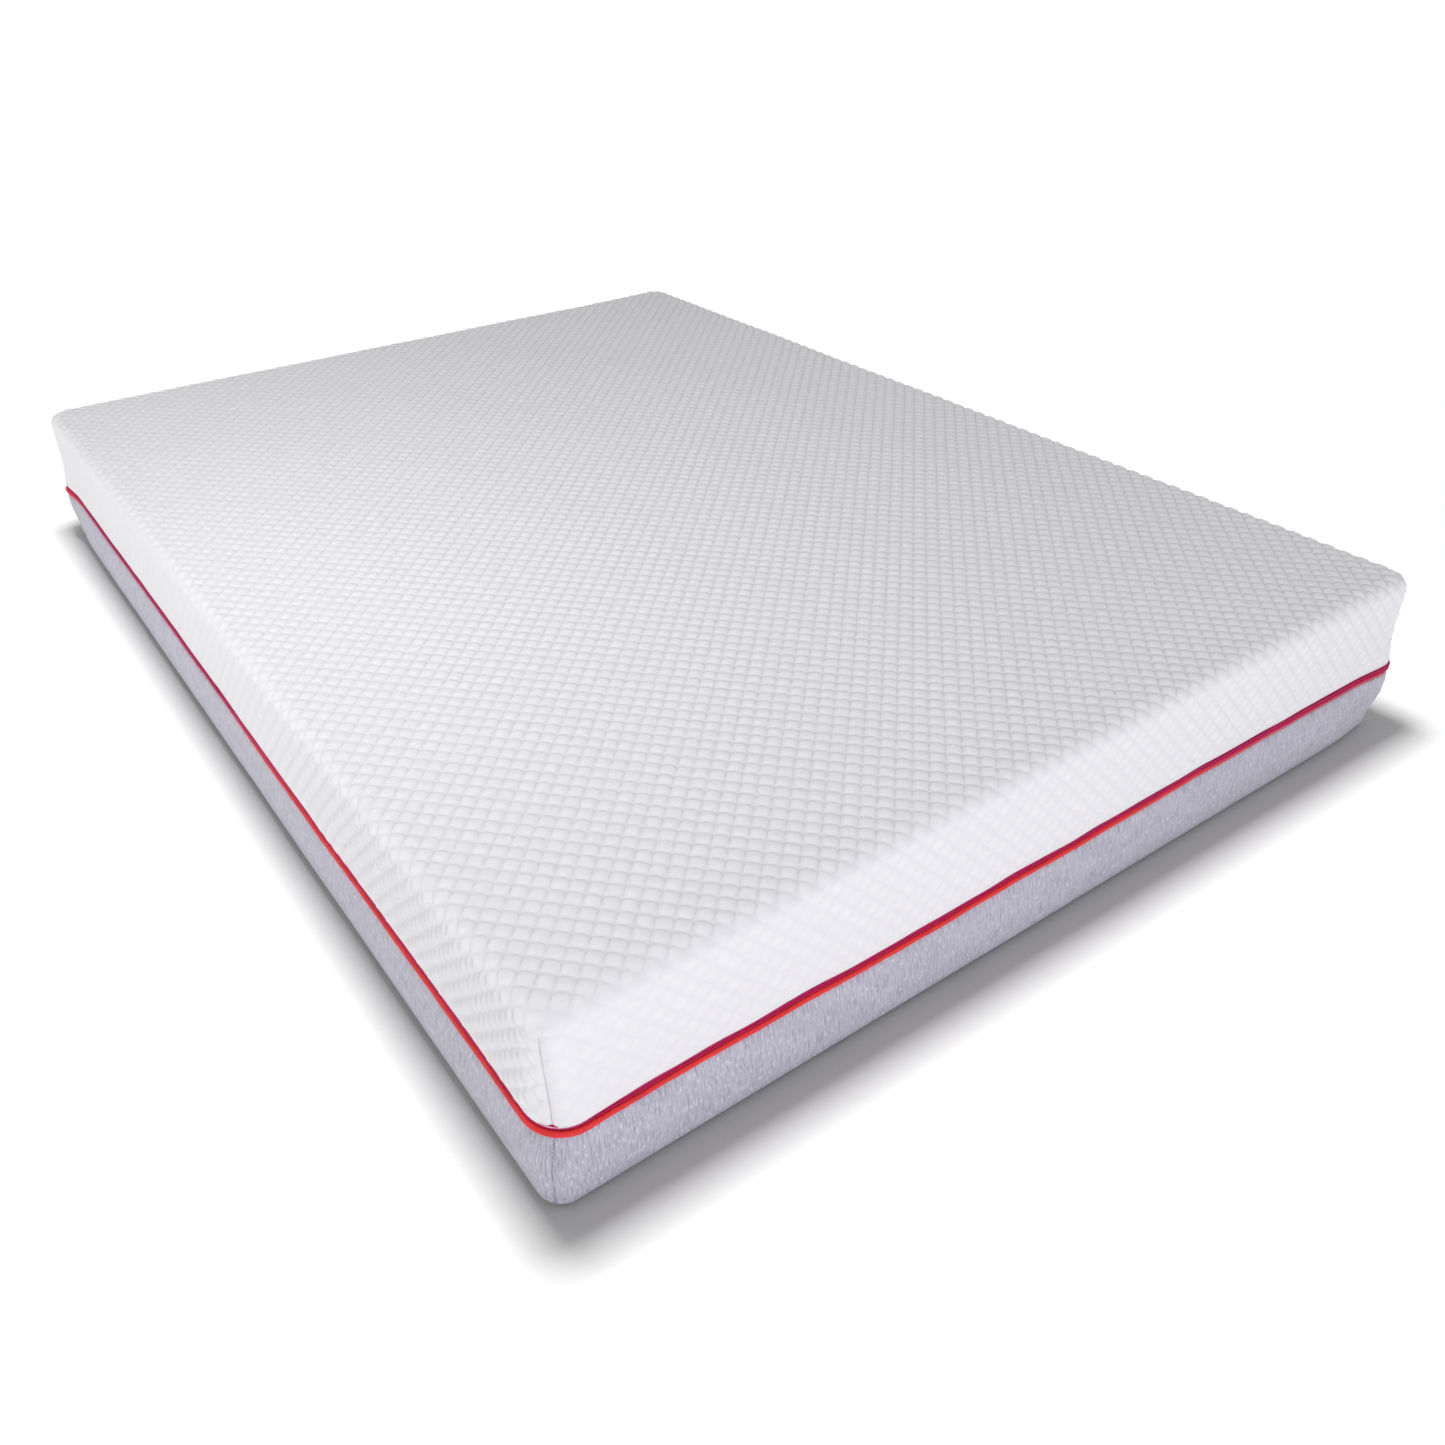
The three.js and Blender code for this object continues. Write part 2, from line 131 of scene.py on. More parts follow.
def smooth_section(points: list[tuple[float, float]], spacing: float) -> np.ndarray:
    """Draws a smooth curve through a section's points.

    Args:
        points: (inset, height) pairs, mm.
        spacing: Distance between the points of the result, mm.

    Returns:
        An array of (inset, height) rows along a centripetal spline.
    """
    given = np.array(points, float)
    ends = np.vstack([2 * given[0] - given[1], given, 2 * given[-1] - given[-2]])
    result = []
    for index in range(1, len(given)):
        before, start, end, after = ends[index - 1 : index + 3]
        chord = np.linalg.norm(end - start)
        steps = max(1, round(chord / spacing))
        leave = (end - before) * chord / (np.linalg.norm(start - before) + chord)
        reach = (after - start) * chord / (np.linalg.norm(after - end) + chord)
        for t in np.arange(steps) / steps:
            result.append(
                (2 * t**3 - 3 * t**2 + 1) * start
                + (t**3 - 2 * t**2 + t) * leave
                + (3 * t**2 - 2 * t**3) * end
                + (t**3 - t**2) * reach
            )
    return np.array(result + [given[-1]])


def make_object(name: str, points: np.ndarray, faces: list, maps: dict[str, np.ndarray]) -> Piece:
    """Makes a smooth-shaded mesh object.

    Args:
        name: The object's name.
        points: Vertices, metres.
        faces: Vertex indices of each face.
        maps: UV maps by name, one row for each corner of each face.

    Returns:
        The linked object.
    """
    mesh = bpy.data.meshes.new(name)
    mesh.from_pydata(np.asarray(points, float), [], faces)
    for map_name, values in maps.items():
        layer = mesh.uv_layers.new(name=map_name)
        layer.data.foreach_set("uv", np.asarray(values, np.float32).ravel())
    mesh.polygons.foreach_set("use_smooth", np.ones(len(mesh.polygons), bool))
    mesh.validate()
    made = bpy.data.objects.new(name, mesh)
    bpy.context.scene.collection.objects.link(made)
    return made


@dataclass
class Outline:
    """The mattress's plan, a rectangle with round corners, walked from the middle of its rear side.

    Attributes:
        half_x: Half its width, mm.
        half_y: Half its length, mm.
        radius: Corner radius, mm.
        side_step: Distance between stations along a side, mm.
        corner_step: Distance between stations round a corner, mm.
    """

    half_x: float
    half_y: float
    radius: float
    side_step: float = 8.0
    corner_step: float = 1.6

    def __post_init__(self) -> None:
        """Works out the core rectangle that the corners turn about, and where each side and corner ends."""
        self.core_x = self.half_x - self.radius
        self.core_y = self.half_y - self.radius
        self.quarter = self.radius * math.pi / 2.0
        self.turn = 4.0 * (self.core_x + self.core_y + self.quarter)
        starts = [self.core_x]
        for side in (2 * self.core_y, 2 * self.core_x, 2 * self.core_y):
            starts.append(starts[-1] + self.quarter + side)
        self.corners = np.array(starts) + self.quarter / 2.0
        ends = [stop for start in starts for stop in (start, start + self.quarter)]
        self.stops = [0.0, *ends, self.turn]

    def stations(self, side_step: float | None = None, corner_step: float | None = None) -> np.ndarray:
        """Gives stations round the outline, closer together at the corners.

        Args:
            side_step: Distance between stations along a side, mm, if not the usual one.
            corner_step: Distance between stations round a corner, mm, if not the usual one.

        Returns:
            The stations' arc lengths, mm.
        """
        result = []
        for index, (low, high) in enumerate(zip(self.stops, self.stops[1:])):
            step = (corner_step or self.corner_step) if index % 2 else (side_step or self.side_step)
            count = max(2, round((high - low) / step))
            result.append(low + (high - low) * np.arange(count) / count)
        return np.concatenate(result)

    def locate(self, arc: np.ndarray) -> tuple[np.ndarray, np.ndarray]:
        """Gives each station's foot on the core rectangle and its outward direction.

        Args:
            arc: Arc lengths, mm.

        Returns:
            Two arrays of (x, y) rows.
        """
        x, y = self.core_x, self.core_y
        corners = [(-x, y), (-x, -y), (x, -y), (x, y)]
        feet = np.array([(0, y)] + [corner for corner in corners for _ in range(2)] + [(0, y)])
        turns = np.array([1, 1, 2, 2, 3, 3, 4, 4, 5, 5]) * math.pi / 2.0
        angle = np.interp(arc, self.stops, turns)
        foot = np.stack([np.interp(arc, self.stops, feet[:, axis]) for axis in (0, 1)], -1)
        return foot, np.stack([np.cos(angle), np.sin(angle)], -1)

    def arc_at(self, foot_x: np.ndarray, foot_y: np.ndarray, angle: np.ndarray) -> np.ndarray:
        """Gives the arc length of places known by their foot and the angle of their outward direction.

        Args:
            foot_x: The foot's x on the core rectangle, mm.
            foot_y: The foot's y, mm.
            angle: Outward angle from +X, radians.

        Returns:
            Arc lengths, mm.
        """
        turned = np.mod(angle - math.pi / 2.0, 2.0 * math.pi)
        turned = np.where((turned < TINY) & (foot_x > 0), 2.0 * math.pi, turned)
        x, y = self.core_x, self.core_y
        square = math.pi / 2.0
        left = x + np.where(turned < square - TINY, 0.0, y - foot_y)
        front = x + 2 * y + np.where(turned < 2 * square - TINY, 0.0, foot_x + x)
        walked = np.where(turned < TINY, -foot_x, left)
        for past, distance in (
            (square + TINY, front),
            (2 * square + TINY, 3 * x + 2 * y),
            (3 * square - TINY, 3 * x + 2 * y + foot_y + y),
            (3 * square + TINY, 3 * x + 4 * y),
            (4 * square - TINY, 3 * x + 4 * y + x - foot_x),
        ):
            walked = np.where(turned > past, distance, walked)
        return walked + self.radius * turned

    def places(self, arc: np.ndarray, inset: np.ndarray) -> np.ndarray:
        """Gives plan points at an inset from the outline, past the corners' centres too.

        Args:
            arc: Arc lengths, mm.
            inset: Insets of the same length, mm.

        Returns:
            (x, y) rows, mm.
        """
        foot, out = self.locate(arc)
        past = np.maximum(inset - self.radius, 0.0)[:, None]
        shrink = 1.0 - past / np.array([self.core_x, self.core_y])
        return foot * shrink + out * np.maximum(self.radius - inset, 0.0)[:, None]


class Corner(IntEnum):
    """The four corners, in order round the mattress from its rear side."""

    LEFT = 0
    NEAR = 1
    RIGHT = 2
    BACK = 3


@dataclass
class Drape:
    """How the cover's cloth wanders: the zip line's rise and fall, swollen walls and drawn-in corners.

    Attributes:
        outline: The mattress's plan.
        seam_height: Height of the zip line, mm.
        wander: How far the zip line wanders in long and in short waves, mm.
        near_sag: How far it sags at the near corner, mm.
        corner_rise: How far it rises at the left and the right corner, mm.
        corner_flare: How far the cloth stands out there at the zip line, mm.
        tuck: How far the tray is drawn in under those corners, mm.
        tighter: How much tighter a corner is drawn where nothing fills it out, mm.
        swollen: How far the white and the grey walls swell, mm.
        hem_drop: How far the white hem comes down, in general and at the near corner, mm.
        bulge: How far the zip bulges out, and how much more where it rolls over the piping, mm.
    """

    outline: Outline
    seam_height: float
    wander: tuple[float, float] = (1.1, 0.35)
    near_sag: float = 2.0
    corner_rise: tuple[float, float] = (9.0, 5.0)
    corner_flare: tuple[float, float] = (12.0, 9.0)
    tuck: float = 8.5
    tighter: float = 22.0
    swollen: tuple[float, float] = (1.6, 1.4)
    hem_drop: tuple[float, float] = (1.2, 3.8)
    bulge: tuple[float, float] = (3.1, 1.7)

    def __post_init__(self) -> None:
        """Sets up the seeded unevenness."""
        turn = self.outline.turn
        self.long_wave = Ripple(11, turn, 1100.0, 260.0)
        self.kink = Ripple(12, turn, 240.0, 70.0)
        self.swell = Ripple(13, turn, 900.0, 160.0)
        self.pucker = Ripple(14, turn, 60.0, 18.0)

    def loose(self, arc: np.ndarray) -> np.ndarray:
        """Gives 0 along the straight rear side, where the slider runs, and 1 elsewhere."""
        from_rear = np.minimum(arc, self.outline.turn - arc)
        return smoothstep(self.outline.core_x, self.outline.core_x + 90.0, from_rear)

    def at(self, corner: Corner) -> float:
        """Gives the arc length of one corner, mm."""
        return self.outline.corners[corner]

    def near_corner(self, arc: np.ndarray, corner: Corner, width: float) -> np.ndarray:
        """Gives a bell round one corner."""
        return bell(arc - self.at(corner), width)

    def to_dart(self, arc: np.ndarray) -> np.ndarray:
        """Gives the distance to the nearest corner's dart, mm."""
        return np.abs(arc[..., None] - self.outline.corners).min(-1)

    def rise(self, arc: np.ndarray, height: np.ndarray) -> np.ndarray:
        """Gives how far the cloth is shifted upward.

        Args:
            arc: Arc lengths, mm.
            height: Heights, mm.

        Returns:
            Upward shifts, mm: all of the zip line's wander at the line, less away from it.
        """
        wander = self.wander[0] * self.long_wave.at(arc) + self.wander[1] * self.kink.at(arc)
        wander -= self.near_sag * self.near_corner(arc, Corner.NEAR, 60.0)
        for rise, corner in zip(self.corner_rise, (Corner.LEFT, Corner.RIGHT)):
            wander += rise * self.near_corner(arc, corner, 75.0)
        hold = bell(height - self.seam_height, 55.0)
        return self.loose(arc) * wander * hold

    def squareness(self, arc: np.ndarray, radius: np.ndarray) -> np.ndarray:
        """Gives how far a tighter corner stands out from the nominal one.

        Args:
            arc: Arc lengths, mm.
            radius: The tighter corner's radius, mm.

        Returns:
            Outward shifts, mm, 0 along the sides.
        """
        full = self.outline.radius
        angle = math.pi / 4.0 - np.minimum(self.to_dart(arc) / full, math.pi / 4.0)
        spare = full - radius
        middle = spare * (np.cos(angle) + np.sin(angle))
        on_arc = middle + np.sqrt(np.maximum(middle**2 - 2 * spare**2 + radius**2, 0.0))
        on_side = full / np.cos(angle)
        straight = full * np.tan(angle) < spare
        return np.where(straight, on_side, on_arc) - full

    def corner_radius(self, arc: np.ndarray, height: np.ndarray) -> np.ndarray:
        """Gives how tight each corner is drawn: tight away from the piping, and all over at two corners.

        Args:
            arc: Arc lengths, mm.
            height: Heights, mm.

        Returns:
            Radii, mm.
        """
        tight = np.maximum(smoothstep(120.0, 225.0, height), smoothstep(86.0, 50.0, height))
        pointed = np.minimum(np.abs(arc - self.at(Corner.LEFT)), np.abs(arc - self.at(Corner.RIGHT))) < 60.0
        return self.outline.radius - self.tighter * np.maximum(tight, pointed)

    def hem_dip(self, arc: np.ndarray) -> np.ndarray:
        """Gives how far the white hem comes down towards the piping.

        Args:
            arc: Arc lengths, mm.

        Returns:
            Downward shifts, mm.
        """
        before = self.at(Corner.NEAR) - arc
        usual, near = self.hem_drop
        dip = usual + near * self.near_corner(arc, Corner.NEAR, 62.0) + 0.4 * self.kink.at(arc + 400.0)
        dip += 0.5 * smoothstep(20.0, 120.0, before) * smoothstep(1000.0, 600.0, before)
        dip += 2.6 * bell(before - 510.0, 100.0)
        dip += 2.0 * self.near_corner(arc, Corner.LEFT, 45.0) - 1.6 * self.roll(arc)
        return self.loose(arc) * dip

    def roll(self, arc: np.ndarray) -> np.ndarray:
        """Gives how far the zip rolls out over the piping.

        Args:
            arc: Arc lengths, mm.

        Returns:
            From 0 to 1: most far along both sides of the near corner.
        """
        left, near, right, _ = self.outline.corners
        on_left = smoothstep(560.0, 1050.0, near - arc) * smoothstep(30.0, 150.0, arc - left)
        on_front = smoothstep(620.0, 1250.0, arc - near) * smoothstep(120.0, -40.0, arc - right)
        return np.maximum(on_left, on_front)

    def zip_bulge(self, arc: np.ndarray) -> np.ndarray:
        """Gives how far the zip bulges out between the hem and the piping, mm."""
        held = 1.0 - 0.3 * self.near_corner(arc, Corner.NEAR, 62.0)
        return self.loose(arc) * (self.bulge[0] * held + self.bulge[1] * self.roll(arc))

    def swelling(self, arc: np.ndarray, height: np.ndarray) -> np.ndarray:
        """Gives how far the cloth stands out from its nominal wall.

        Args:
            arc: Arc lengths, mm.
            height: Heights, mm.

        Returns:
            Outward shifts, mm.
        """
        upper = bell(height - 175.0, 60.0)
        lower = bell(height - 48.0, 34.0)
        slack = 0.5 * self.swell.at(arc, height) * (upper + lower)
        at_left = self.near_corner(arc, Corner.LEFT, 60.0)
        at_right = self.near_corner(arc, Corner.RIGHT, 60.0)
        flare = self.corner_flare[0] * at_left + self.corner_flare[1] * at_right
        flare = flare * bell(height - self.seam_height, 40.0)
        flare += 1.5 * (at_left + at_right) * bell(height - 225.0, 40.0)
        flare -= self.tuck * np.maximum(at_left, at_right) * bell(height - 22.0, 30.0)
        square = self.squareness(arc, self.corner_radius(arc, height))
        body = self.swollen[0] * upper + self.swollen[1] * lower
        return self.loose(arc) * (body + slack + flare) + square

    def dart(self, arc: np.ndarray, height: np.ndarray, depth: float, width: float) -> np.ndarray:
        """Gives the groove of the corner darts and the puckers beside it.

        Args:
            arc: Arc lengths, mm.
            height: Heights, mm.
            depth: The groove's depth, mm.
            width: The groove's half width, mm.

        Returns:
            Outward shifts, mm, negative in the groove.
        """
        away = self.to_dart(arc)
        pucker = self.pucker.at(height * 6.0, arc * 0.35)
        return -depth * bell(away, width) + 0.28 * depth * pucker * bell(away - 2.2 * width, 2.2 * width)


def spread(section: np.ndarray, arc: np.ndarray) -> tuple[np.ndarray, np.ndarray]:
    """Repeats a section at every station.

    Args:
        section: (inset, height) rows, mm.
        arc: The stations' arc lengths, mm.

    Returns:
        Insets and heights, one row for each point of the section and one column for each station.
    """
    return np.repeat(section[:, :1], len(arc), 1), np.repeat(section[:, 1:], len(arc), 1)


def sweep(
    name: str,
    outline: Outline,
    arc: np.ndarray,
    inset: np.ndarray,
    height: np.ndarray,
    closed: bool = False,
    caps: tuple[int, ...] = (),
) -> Piece:
    """Makes a skin from sections carried round the outline.

    Args:
        name: The object's name.
        outline: The plan.
        arc: The stations' arc lengths, mm.
        inset: Insets, one row for each point of the section and one column for each station, mm.
        height: Heights of the same shape, mm.
        closed: Whether the section's last point joins its first.
        caps: Rows that are closed with one flat face: 0 for the first and -1 for the last.

    Returns:
        The object, with a map named cloth in metres along and across the cloth.
    """
    rows, count = inset.shape
    plan = np.stack([outline.places(arc, inset[row]) for row in range(rows)])
    points = np.concatenate([plan, height[..., None]], -1) * MM
    middle = count // 2
    across = np.stack([inset[:, middle], height[:, middle]], -1)
    if closed:
        across = np.vstack([across, across[:1]])
    lengths = np.concatenate([[0.0], np.linalg.norm(np.diff(across, axis=0), axis=1).cumsum()])
    along = np.append(arc, outline.turn)
    faces, cloth = [], []
    for row in range(rows if closed else rows - 1):
        upper, lower = row * count, (row + 1) % rows * count
        for column in range(count):
            after = (column + 1) % count
            faces.append((upper + column, lower + column, lower + after, upper + after))
            left, right = along[column], along[column + 1]
            top, bottom = lengths[row], lengths[row + 1]
            cloth += [(left, top), (left, bottom), (right, bottom), (right, top)]
    for row in caps:
        first = (row % rows) * count
        ring = list(range(first, first + count))
        ring = ring[::-1] if row else ring
        faces.append(ring)
        cloth += [tuple(plan.reshape(-1, 2)[index]) for index in ring]
    return make_object(name, points.reshape(-1, 3), faces, {"cloth": np.array(cloth) * MM})


# ---------------------------------------------------------------- colours, nodes and finishes


def linear(colour: str) -> tuple[float, float, float, float]:
    """Turns an sRGB hex colour into linear red, green, blue and an alpha of 1."""
    parts = [int(colour[at : at + 2], 16) / 255.0 for at in (1, 3, 5)]
    return (*[p / 12.92 if p <= 0.04045 else ((p + 0.055) / 1.055) ** 2.4 for p in parts], 1.0)


def add_node(
    tree: Tree, kind: str, settings: dict | None = None, feeds: dict | None = None
) -> bpy.types.Node:
    """Adds one node.

    Args:
        tree: The material's nodes.
        kind: Blender's name of the node's kind.
        settings: The node's own properties.
        feeds: What goes into its sockets, by name or number: a socket to link, or a value.

    Returns:
        The node.
    """
    node = tree.nodes.new(kind)
    for name, value in (settings or {}).items():
        setattr(node, name, value)
    for socket, value in (feeds or {}).items():
        if isinstance(value, Socket):
            tree.links.new(value, node.inputs[socket])
        else:
            node.inputs[socket].default_value = value
    return node


@dataclass(frozen=True)
class Finish:
    """A surface, named for its material and how it was made.

    Attributes:
        name: The material's name.
        roughness: From 0, mirror, to 1, chalk.
        ior: Index of refraction.
        metallic: 1 on bare metal.
        sheen: How much loose fibre catches the light.
        bump_depth: Depth of the finest relief, mm.
    """

    name: str
    roughness: float = 0.85
    ior: float = 1.5
    metallic: float = 0.0
    sheen: float = 0.0
    bump_depth: float = 0.15

    def colour_and_relief(self, tree: Tree, cloth: Socket) -> tuple[Socket, Socket]:
        """Draws the pattern. Each finish has its own.

        Args:
            tree: The material's nodes.
            cloth: Place on the surface, mm.

        Returns:
            The colour socket and the relief socket.
        """
        raise NotImplementedError

    def material(self) -> bpy.types.Material:
        """Makes the finish's material.

        Returns:
            The material.
        """
        made = bpy.data.materials.new(self.name)
        made.use_nodes = True
        tree = made.node_tree
        shader = tree.nodes["Principled BSDF"]
        cloth = self.place(tree)
        colour, relief = self.colour_and_relief(tree, cloth)
        feeds = {"Height": relief, "Distance": self.bump_depth * MM, "Strength": 1.0}
        bump = add_node(tree, "ShaderNodeBump", feeds=feeds)
        tree.links.new(colour, shader.inputs["Base Color"])
        tree.links.new(bump.outputs["Normal"], shader.inputs["Normal"])
        for socket, value in (
            ("Roughness", self.roughness),
            ("Metallic", self.metallic),
            ("IOR", self.ior),
            ("Sheen Weight", self.sheen),
            ("Sheen Roughness", 0.5),
        ):
            shader.inputs[socket].default_value = value
        return made

    def place(self, tree: Tree) -> Socket:
        """Gives the place on the cloth in mm, from the cloth map.

        Args:
            tree: The material's nodes.

        Returns:
            The place socket.
        """
        cloth = add_node(tree, "ShaderNodeUVMap", {"uv_map": "cloth"})
        feeds = {0: cloth.outputs["UV"], 1: (1000.0, 1000.0, 0.0)}
        return add_node(tree, "ShaderNodeVectorMath", {"operation": "MULTIPLY"}, feeds).outputs["Vector"]


@dataclass(frozen=True)
class SolidFinish(Finish):
    """A finish of a solid piece, whose pattern runs through space and not along a cloth."""

    def place(self, tree: Tree) -> Socket:
        """Gives the place in space, mm.

        Args:
            tree: The material's nodes.

        Returns:
            The place socket.
        """
        space = add_node(tree, "ShaderNodeTexCoord")
        feeds = {0: space.outputs["Object"], 1: (1000.0, 1000.0, 1000.0)}
        return add_node(tree, "ShaderNodeVectorMath", {"operation": "MULTIPLY"}, feeds).outputs["Vector"]


def loops(tree: Tree, cloth: Socket, wale: float, course: float) -> Socket:
    """Draws rows of knitted loops.

    Args:
        tree: The material's nodes.
        cloth: Place on the cloth, mm.
        wale: Distance between loops across the cloth, mm.
        course: Distance between rows of loops, mm.

    Returns:
        The relief socket, 0 between the loops to 1 on them.
    """
    feeds = {0: cloth, 1: (2.0 * math.pi / wale, 2.0 * math.pi / course, 0.0)}
    scaled = add_node(tree, "ShaderNodeVectorMath", {"operation": "MULTIPLY"}, feeds)
    split = add_node(tree, "ShaderNodeSeparateXYZ", feeds={0: scaled.outputs["Vector"]})
    across = add_node(tree, "ShaderNodeMath", {"operation": "SINE"}, {0: split.outputs["X"]})
    feeds = {0: across.outputs[0], 1: 1.2, 2: split.outputs["Y"]}
    lean = add_node(tree, "ShaderNodeMath", {"operation": "MULTIPLY_ADD"}, feeds)
    row = add_node(tree, "ShaderNodeMath", {"operation": "SINE"}, {0: lean.outputs[0]})
    feeds = {0: across.outputs[0], 1: row.outputs[0]}
    both = add_node(tree, "ShaderNodeMath", {"operation": "MULTIPLY"}, feeds)
    feeds = {0: both.outputs[0], 1: 0.5, 2: 0.5}
    return add_node(tree, "ShaderNodeMath", {"operation": "MULTIPLY_ADD"}, feeds).outputs[0]


def stretched_noise(
    tree: Tree, cloth: Socket, size: tuple[float, float, float], detail: float = 2.0
) -> Socket:
    """Draws noise with grains of a given size.

    Args:
        tree: The material's nodes.
        cloth: Place on the surface, mm.
        size: The grains' size along each axis, mm.
        detail: How many finer noises are laid over it.

    Returns:
        The noise socket, about 0.3 to 0.7.
    """
    scaled = add_node(tree, "ShaderNodeVectorMath", {"operation": "DIVIDE"}, {0: cloth, 1: size})
    noise = add_node(
        tree, "ShaderNodeTexNoise", feeds={"Vector": scaled.outputs[0], "Scale": 1.0, "Detail": detail}
    )
    return noise.outputs["Fac"]


def blend(
    tree: Tree, value: Socket, span: tuple[float, float], first: Socket | str, second: Socket | str
) -> Socket:
    """Goes from one colour to another as a value rises.

    Args:
        tree: The material's nodes.
        value: What drives it.
        span: The values at which the blend starts and ends.
        first: The first colour, as a hex colour or a socket.
        second: The second colour.

    Returns:
        The colour socket.
    """
    share = add_node(
        tree, "ShaderNodeMapRange", feeds={"Value": value, "From Min": span[0], "From Max": span[1]}
    )
    feeds = {0: share.outputs["Result"]}
    for socket, end in ((6, first), (7, second)):
        feeds[socket] = linear(end) if isinstance(end, str) else end
    return add_node(tree, "ShaderNodeMix", {"data_type": "RGBA"}, feeds).outputs[2]


@dataclass(frozen=True)
class BubbleKnit(Finish):
    """Polyester double-jacquard knit: matte white yarn, painted greyer in the creases, partly for its greyer
    ground yarn and partly as painted shade.

    Attributes:
        peak: Colour of the raised yarn.
        crease: Colour painted in the creases: the ground yarn's grey, darkened further as painted shade.
        mottle: Colour where the yarn packs closer.
        wale: Loop spacing, mm. Real loops are 1.2 mm, too fine to show, so they are drawn at 2 mm.
        course: Row spacing, mm, drawn as coarse.
    """

    peak: str = "#F2F1F2"
    crease: str = "#E9E8EB"
    mottle: str = "#EDECEE"
    wale: float = 2.0
    course: float = 1.7

    def colour_and_relief(self, tree: Tree, cloth: Socket) -> tuple[Socket, Socket]:
        """Paints shade into the creases from the piece's relief attribute, over the ground yarn's grey, and
        mottles the yarn.

        Args:
            tree: The material's nodes.
            cloth: Place on the surface, mm.

        Returns:
            The colour socket and the relief socket.
        """
        relief = add_node(tree, "ShaderNodeAttribute", {"attribute_name": "relief"})
        cloud = stretched_noise(tree, cloth, (14.0, 14.0, 14.0))
        top = blend(tree, cloud, (0.35, 0.65), self.peak, self.mottle)
        yarn = loops(tree, cloth, self.wale, self.course)
        # Painted shade: the lower the relief attribute, the nearer the colour comes to the darker crease
        # colour.
        return blend(tree, relief.outputs["Fac"], (0.0, 0.55), self.crease, top), yarn


@dataclass(frozen=True)
class MelangeKnit(Finish):
    """Melange jersey of mixed grey and lilac fibres: fine streaks along the wales, matte, a little fuzz.

    Attributes:
        ground: Colour of most of the yarn.
        shade: Colour of the dark fibres.
        light: Colour of the light fibres.
        cloud: Colour where more dark fibre was spun in.
        wale: Loop spacing, mm. Real loops are 0.9 mm, drawn at 2.2 mm so that the ribs show.
        course: Row spacing, mm.
    """

    ground: str = "#BEBCCA"
    shade: str = "#9C9AAB"
    light: str = "#D8D7E0"
    cloud: str = "#B5B3C1"
    wale: float = 2.2
    course: float = 2.6

    def colour_and_relief(self, tree: Tree, cloth: Socket) -> tuple[Socket, Socket]:
        """Streaks the yarn across the wales with dark and light fibres.

        Args:
            tree: The material's nodes.
            cloth: Place on the surface, mm.

        Returns:
            The colour socket and the relief socket.
        """
        dark = stretched_noise(tree, cloth, (2.0, 26.0, 1.0), 3.0)
        pale = stretched_noise(tree, cloth, (1.6, 9.0, 1.0))
        cloud = stretched_noise(tree, cloth, (60.0, 40.0, 1.0))
        base = blend(tree, cloud, (0.3, 0.7), self.ground, self.cloud)
        shaded = blend(tree, dark, (0.48, 0.66), base, self.shade)
        return blend(tree, pale, (0.52, 0.72), shaded, self.light), loops(tree, cloth, self.wale, self.course)


@dataclass(frozen=True)
class PlainWeave(Finish):
    """Plain-woven polyester: crisp fine threads with a slight sheen.

    Attributes:
        thread: Colour of the threads' tops.
        shadow: Colour between the threads.
        pitch: Thread spacing, mm. The real 0.4 mm is drawn at 0.9 mm so that it shows.
    """

    thread: str = "#F4302C"
    shadow: str = "#D21A20"
    pitch: float = 0.9

    def colour_and_relief(self, tree: Tree, cloth: Socket) -> tuple[Socket, Socket]:
        """Crosses two sets of threads and lets the colour fade a little in places.

        Args:
            tree: The material's nodes.
            cloth: Place on the surface, mm.

        Returns:
            The colour socket and the relief socket.
        """
        weave = loops(tree, cloth, self.pitch * 2.0, self.pitch * 2.0)
        cloud = stretched_noise(tree, cloth, (25.0, 6.0, 1.0))
        body = blend(tree, cloud, (0.25, 0.6), self.shadow, self.thread)
        return blend(tree, weave, (0.0, 0.5), self.shadow, body), weave


@dataclass(frozen=True)
class HerringboneTape(Finish):
    """Herringbone-woven polyester tape: diagonal ribs that turn back every few millimetres.

    Attributes:
        thread: Colour of the ribs.
        shadow: Colour between the ribs.
        rib: Rib spacing, mm. The real 0.6 mm is drawn at 1.2 mm so that it shows.
        column: Width of a column of ribs, mm.
    """

    thread: str = "#C00A5C"
    shadow: str = "#9A0646"
    rib: float = 1.2
    column: float = 3.2

    def colour_and_relief(self, tree: Tree, cloth: Socket) -> tuple[Socket, Socket]:
        """Leans the ribs one way and the other across the tape.

        Args:
            tree: The material's nodes.
            cloth: Place on the surface, mm.

        Returns:
            The colour socket and the relief socket.
        """
        split = add_node(tree, "ShaderNodeSeparateXYZ", feeds={0: cloth})
        feeds = {0: split.outputs["Y"], 1: self.column}
        fold = add_node(tree, "ShaderNodeMath", {"operation": "PINGPONG"}, feeds)
        feeds = {0: split.outputs["X"], 1: fold.outputs[0]}
        lean = add_node(tree, "ShaderNodeMath", {"operation": "ADD"}, feeds)
        feeds = {0: lean.outputs[0], 1: 2.0 * math.pi / self.rib}
        turn = add_node(tree, "ShaderNodeMath", {"operation": "MULTIPLY"}, feeds)
        wave = add_node(tree, "ShaderNodeMath", {"operation": "SINE"}, {0: turn.outputs[0]})
        feeds = {0: wave.outputs[0], 1: 0.5, 2: 0.5}
        rib = add_node(tree, "ShaderNodeMath", {"operation": "MULTIPLY_ADD"}, feeds).outputs[0]
        return blend(tree, rib, (0.0, 1.0), self.shadow, self.thread), rib


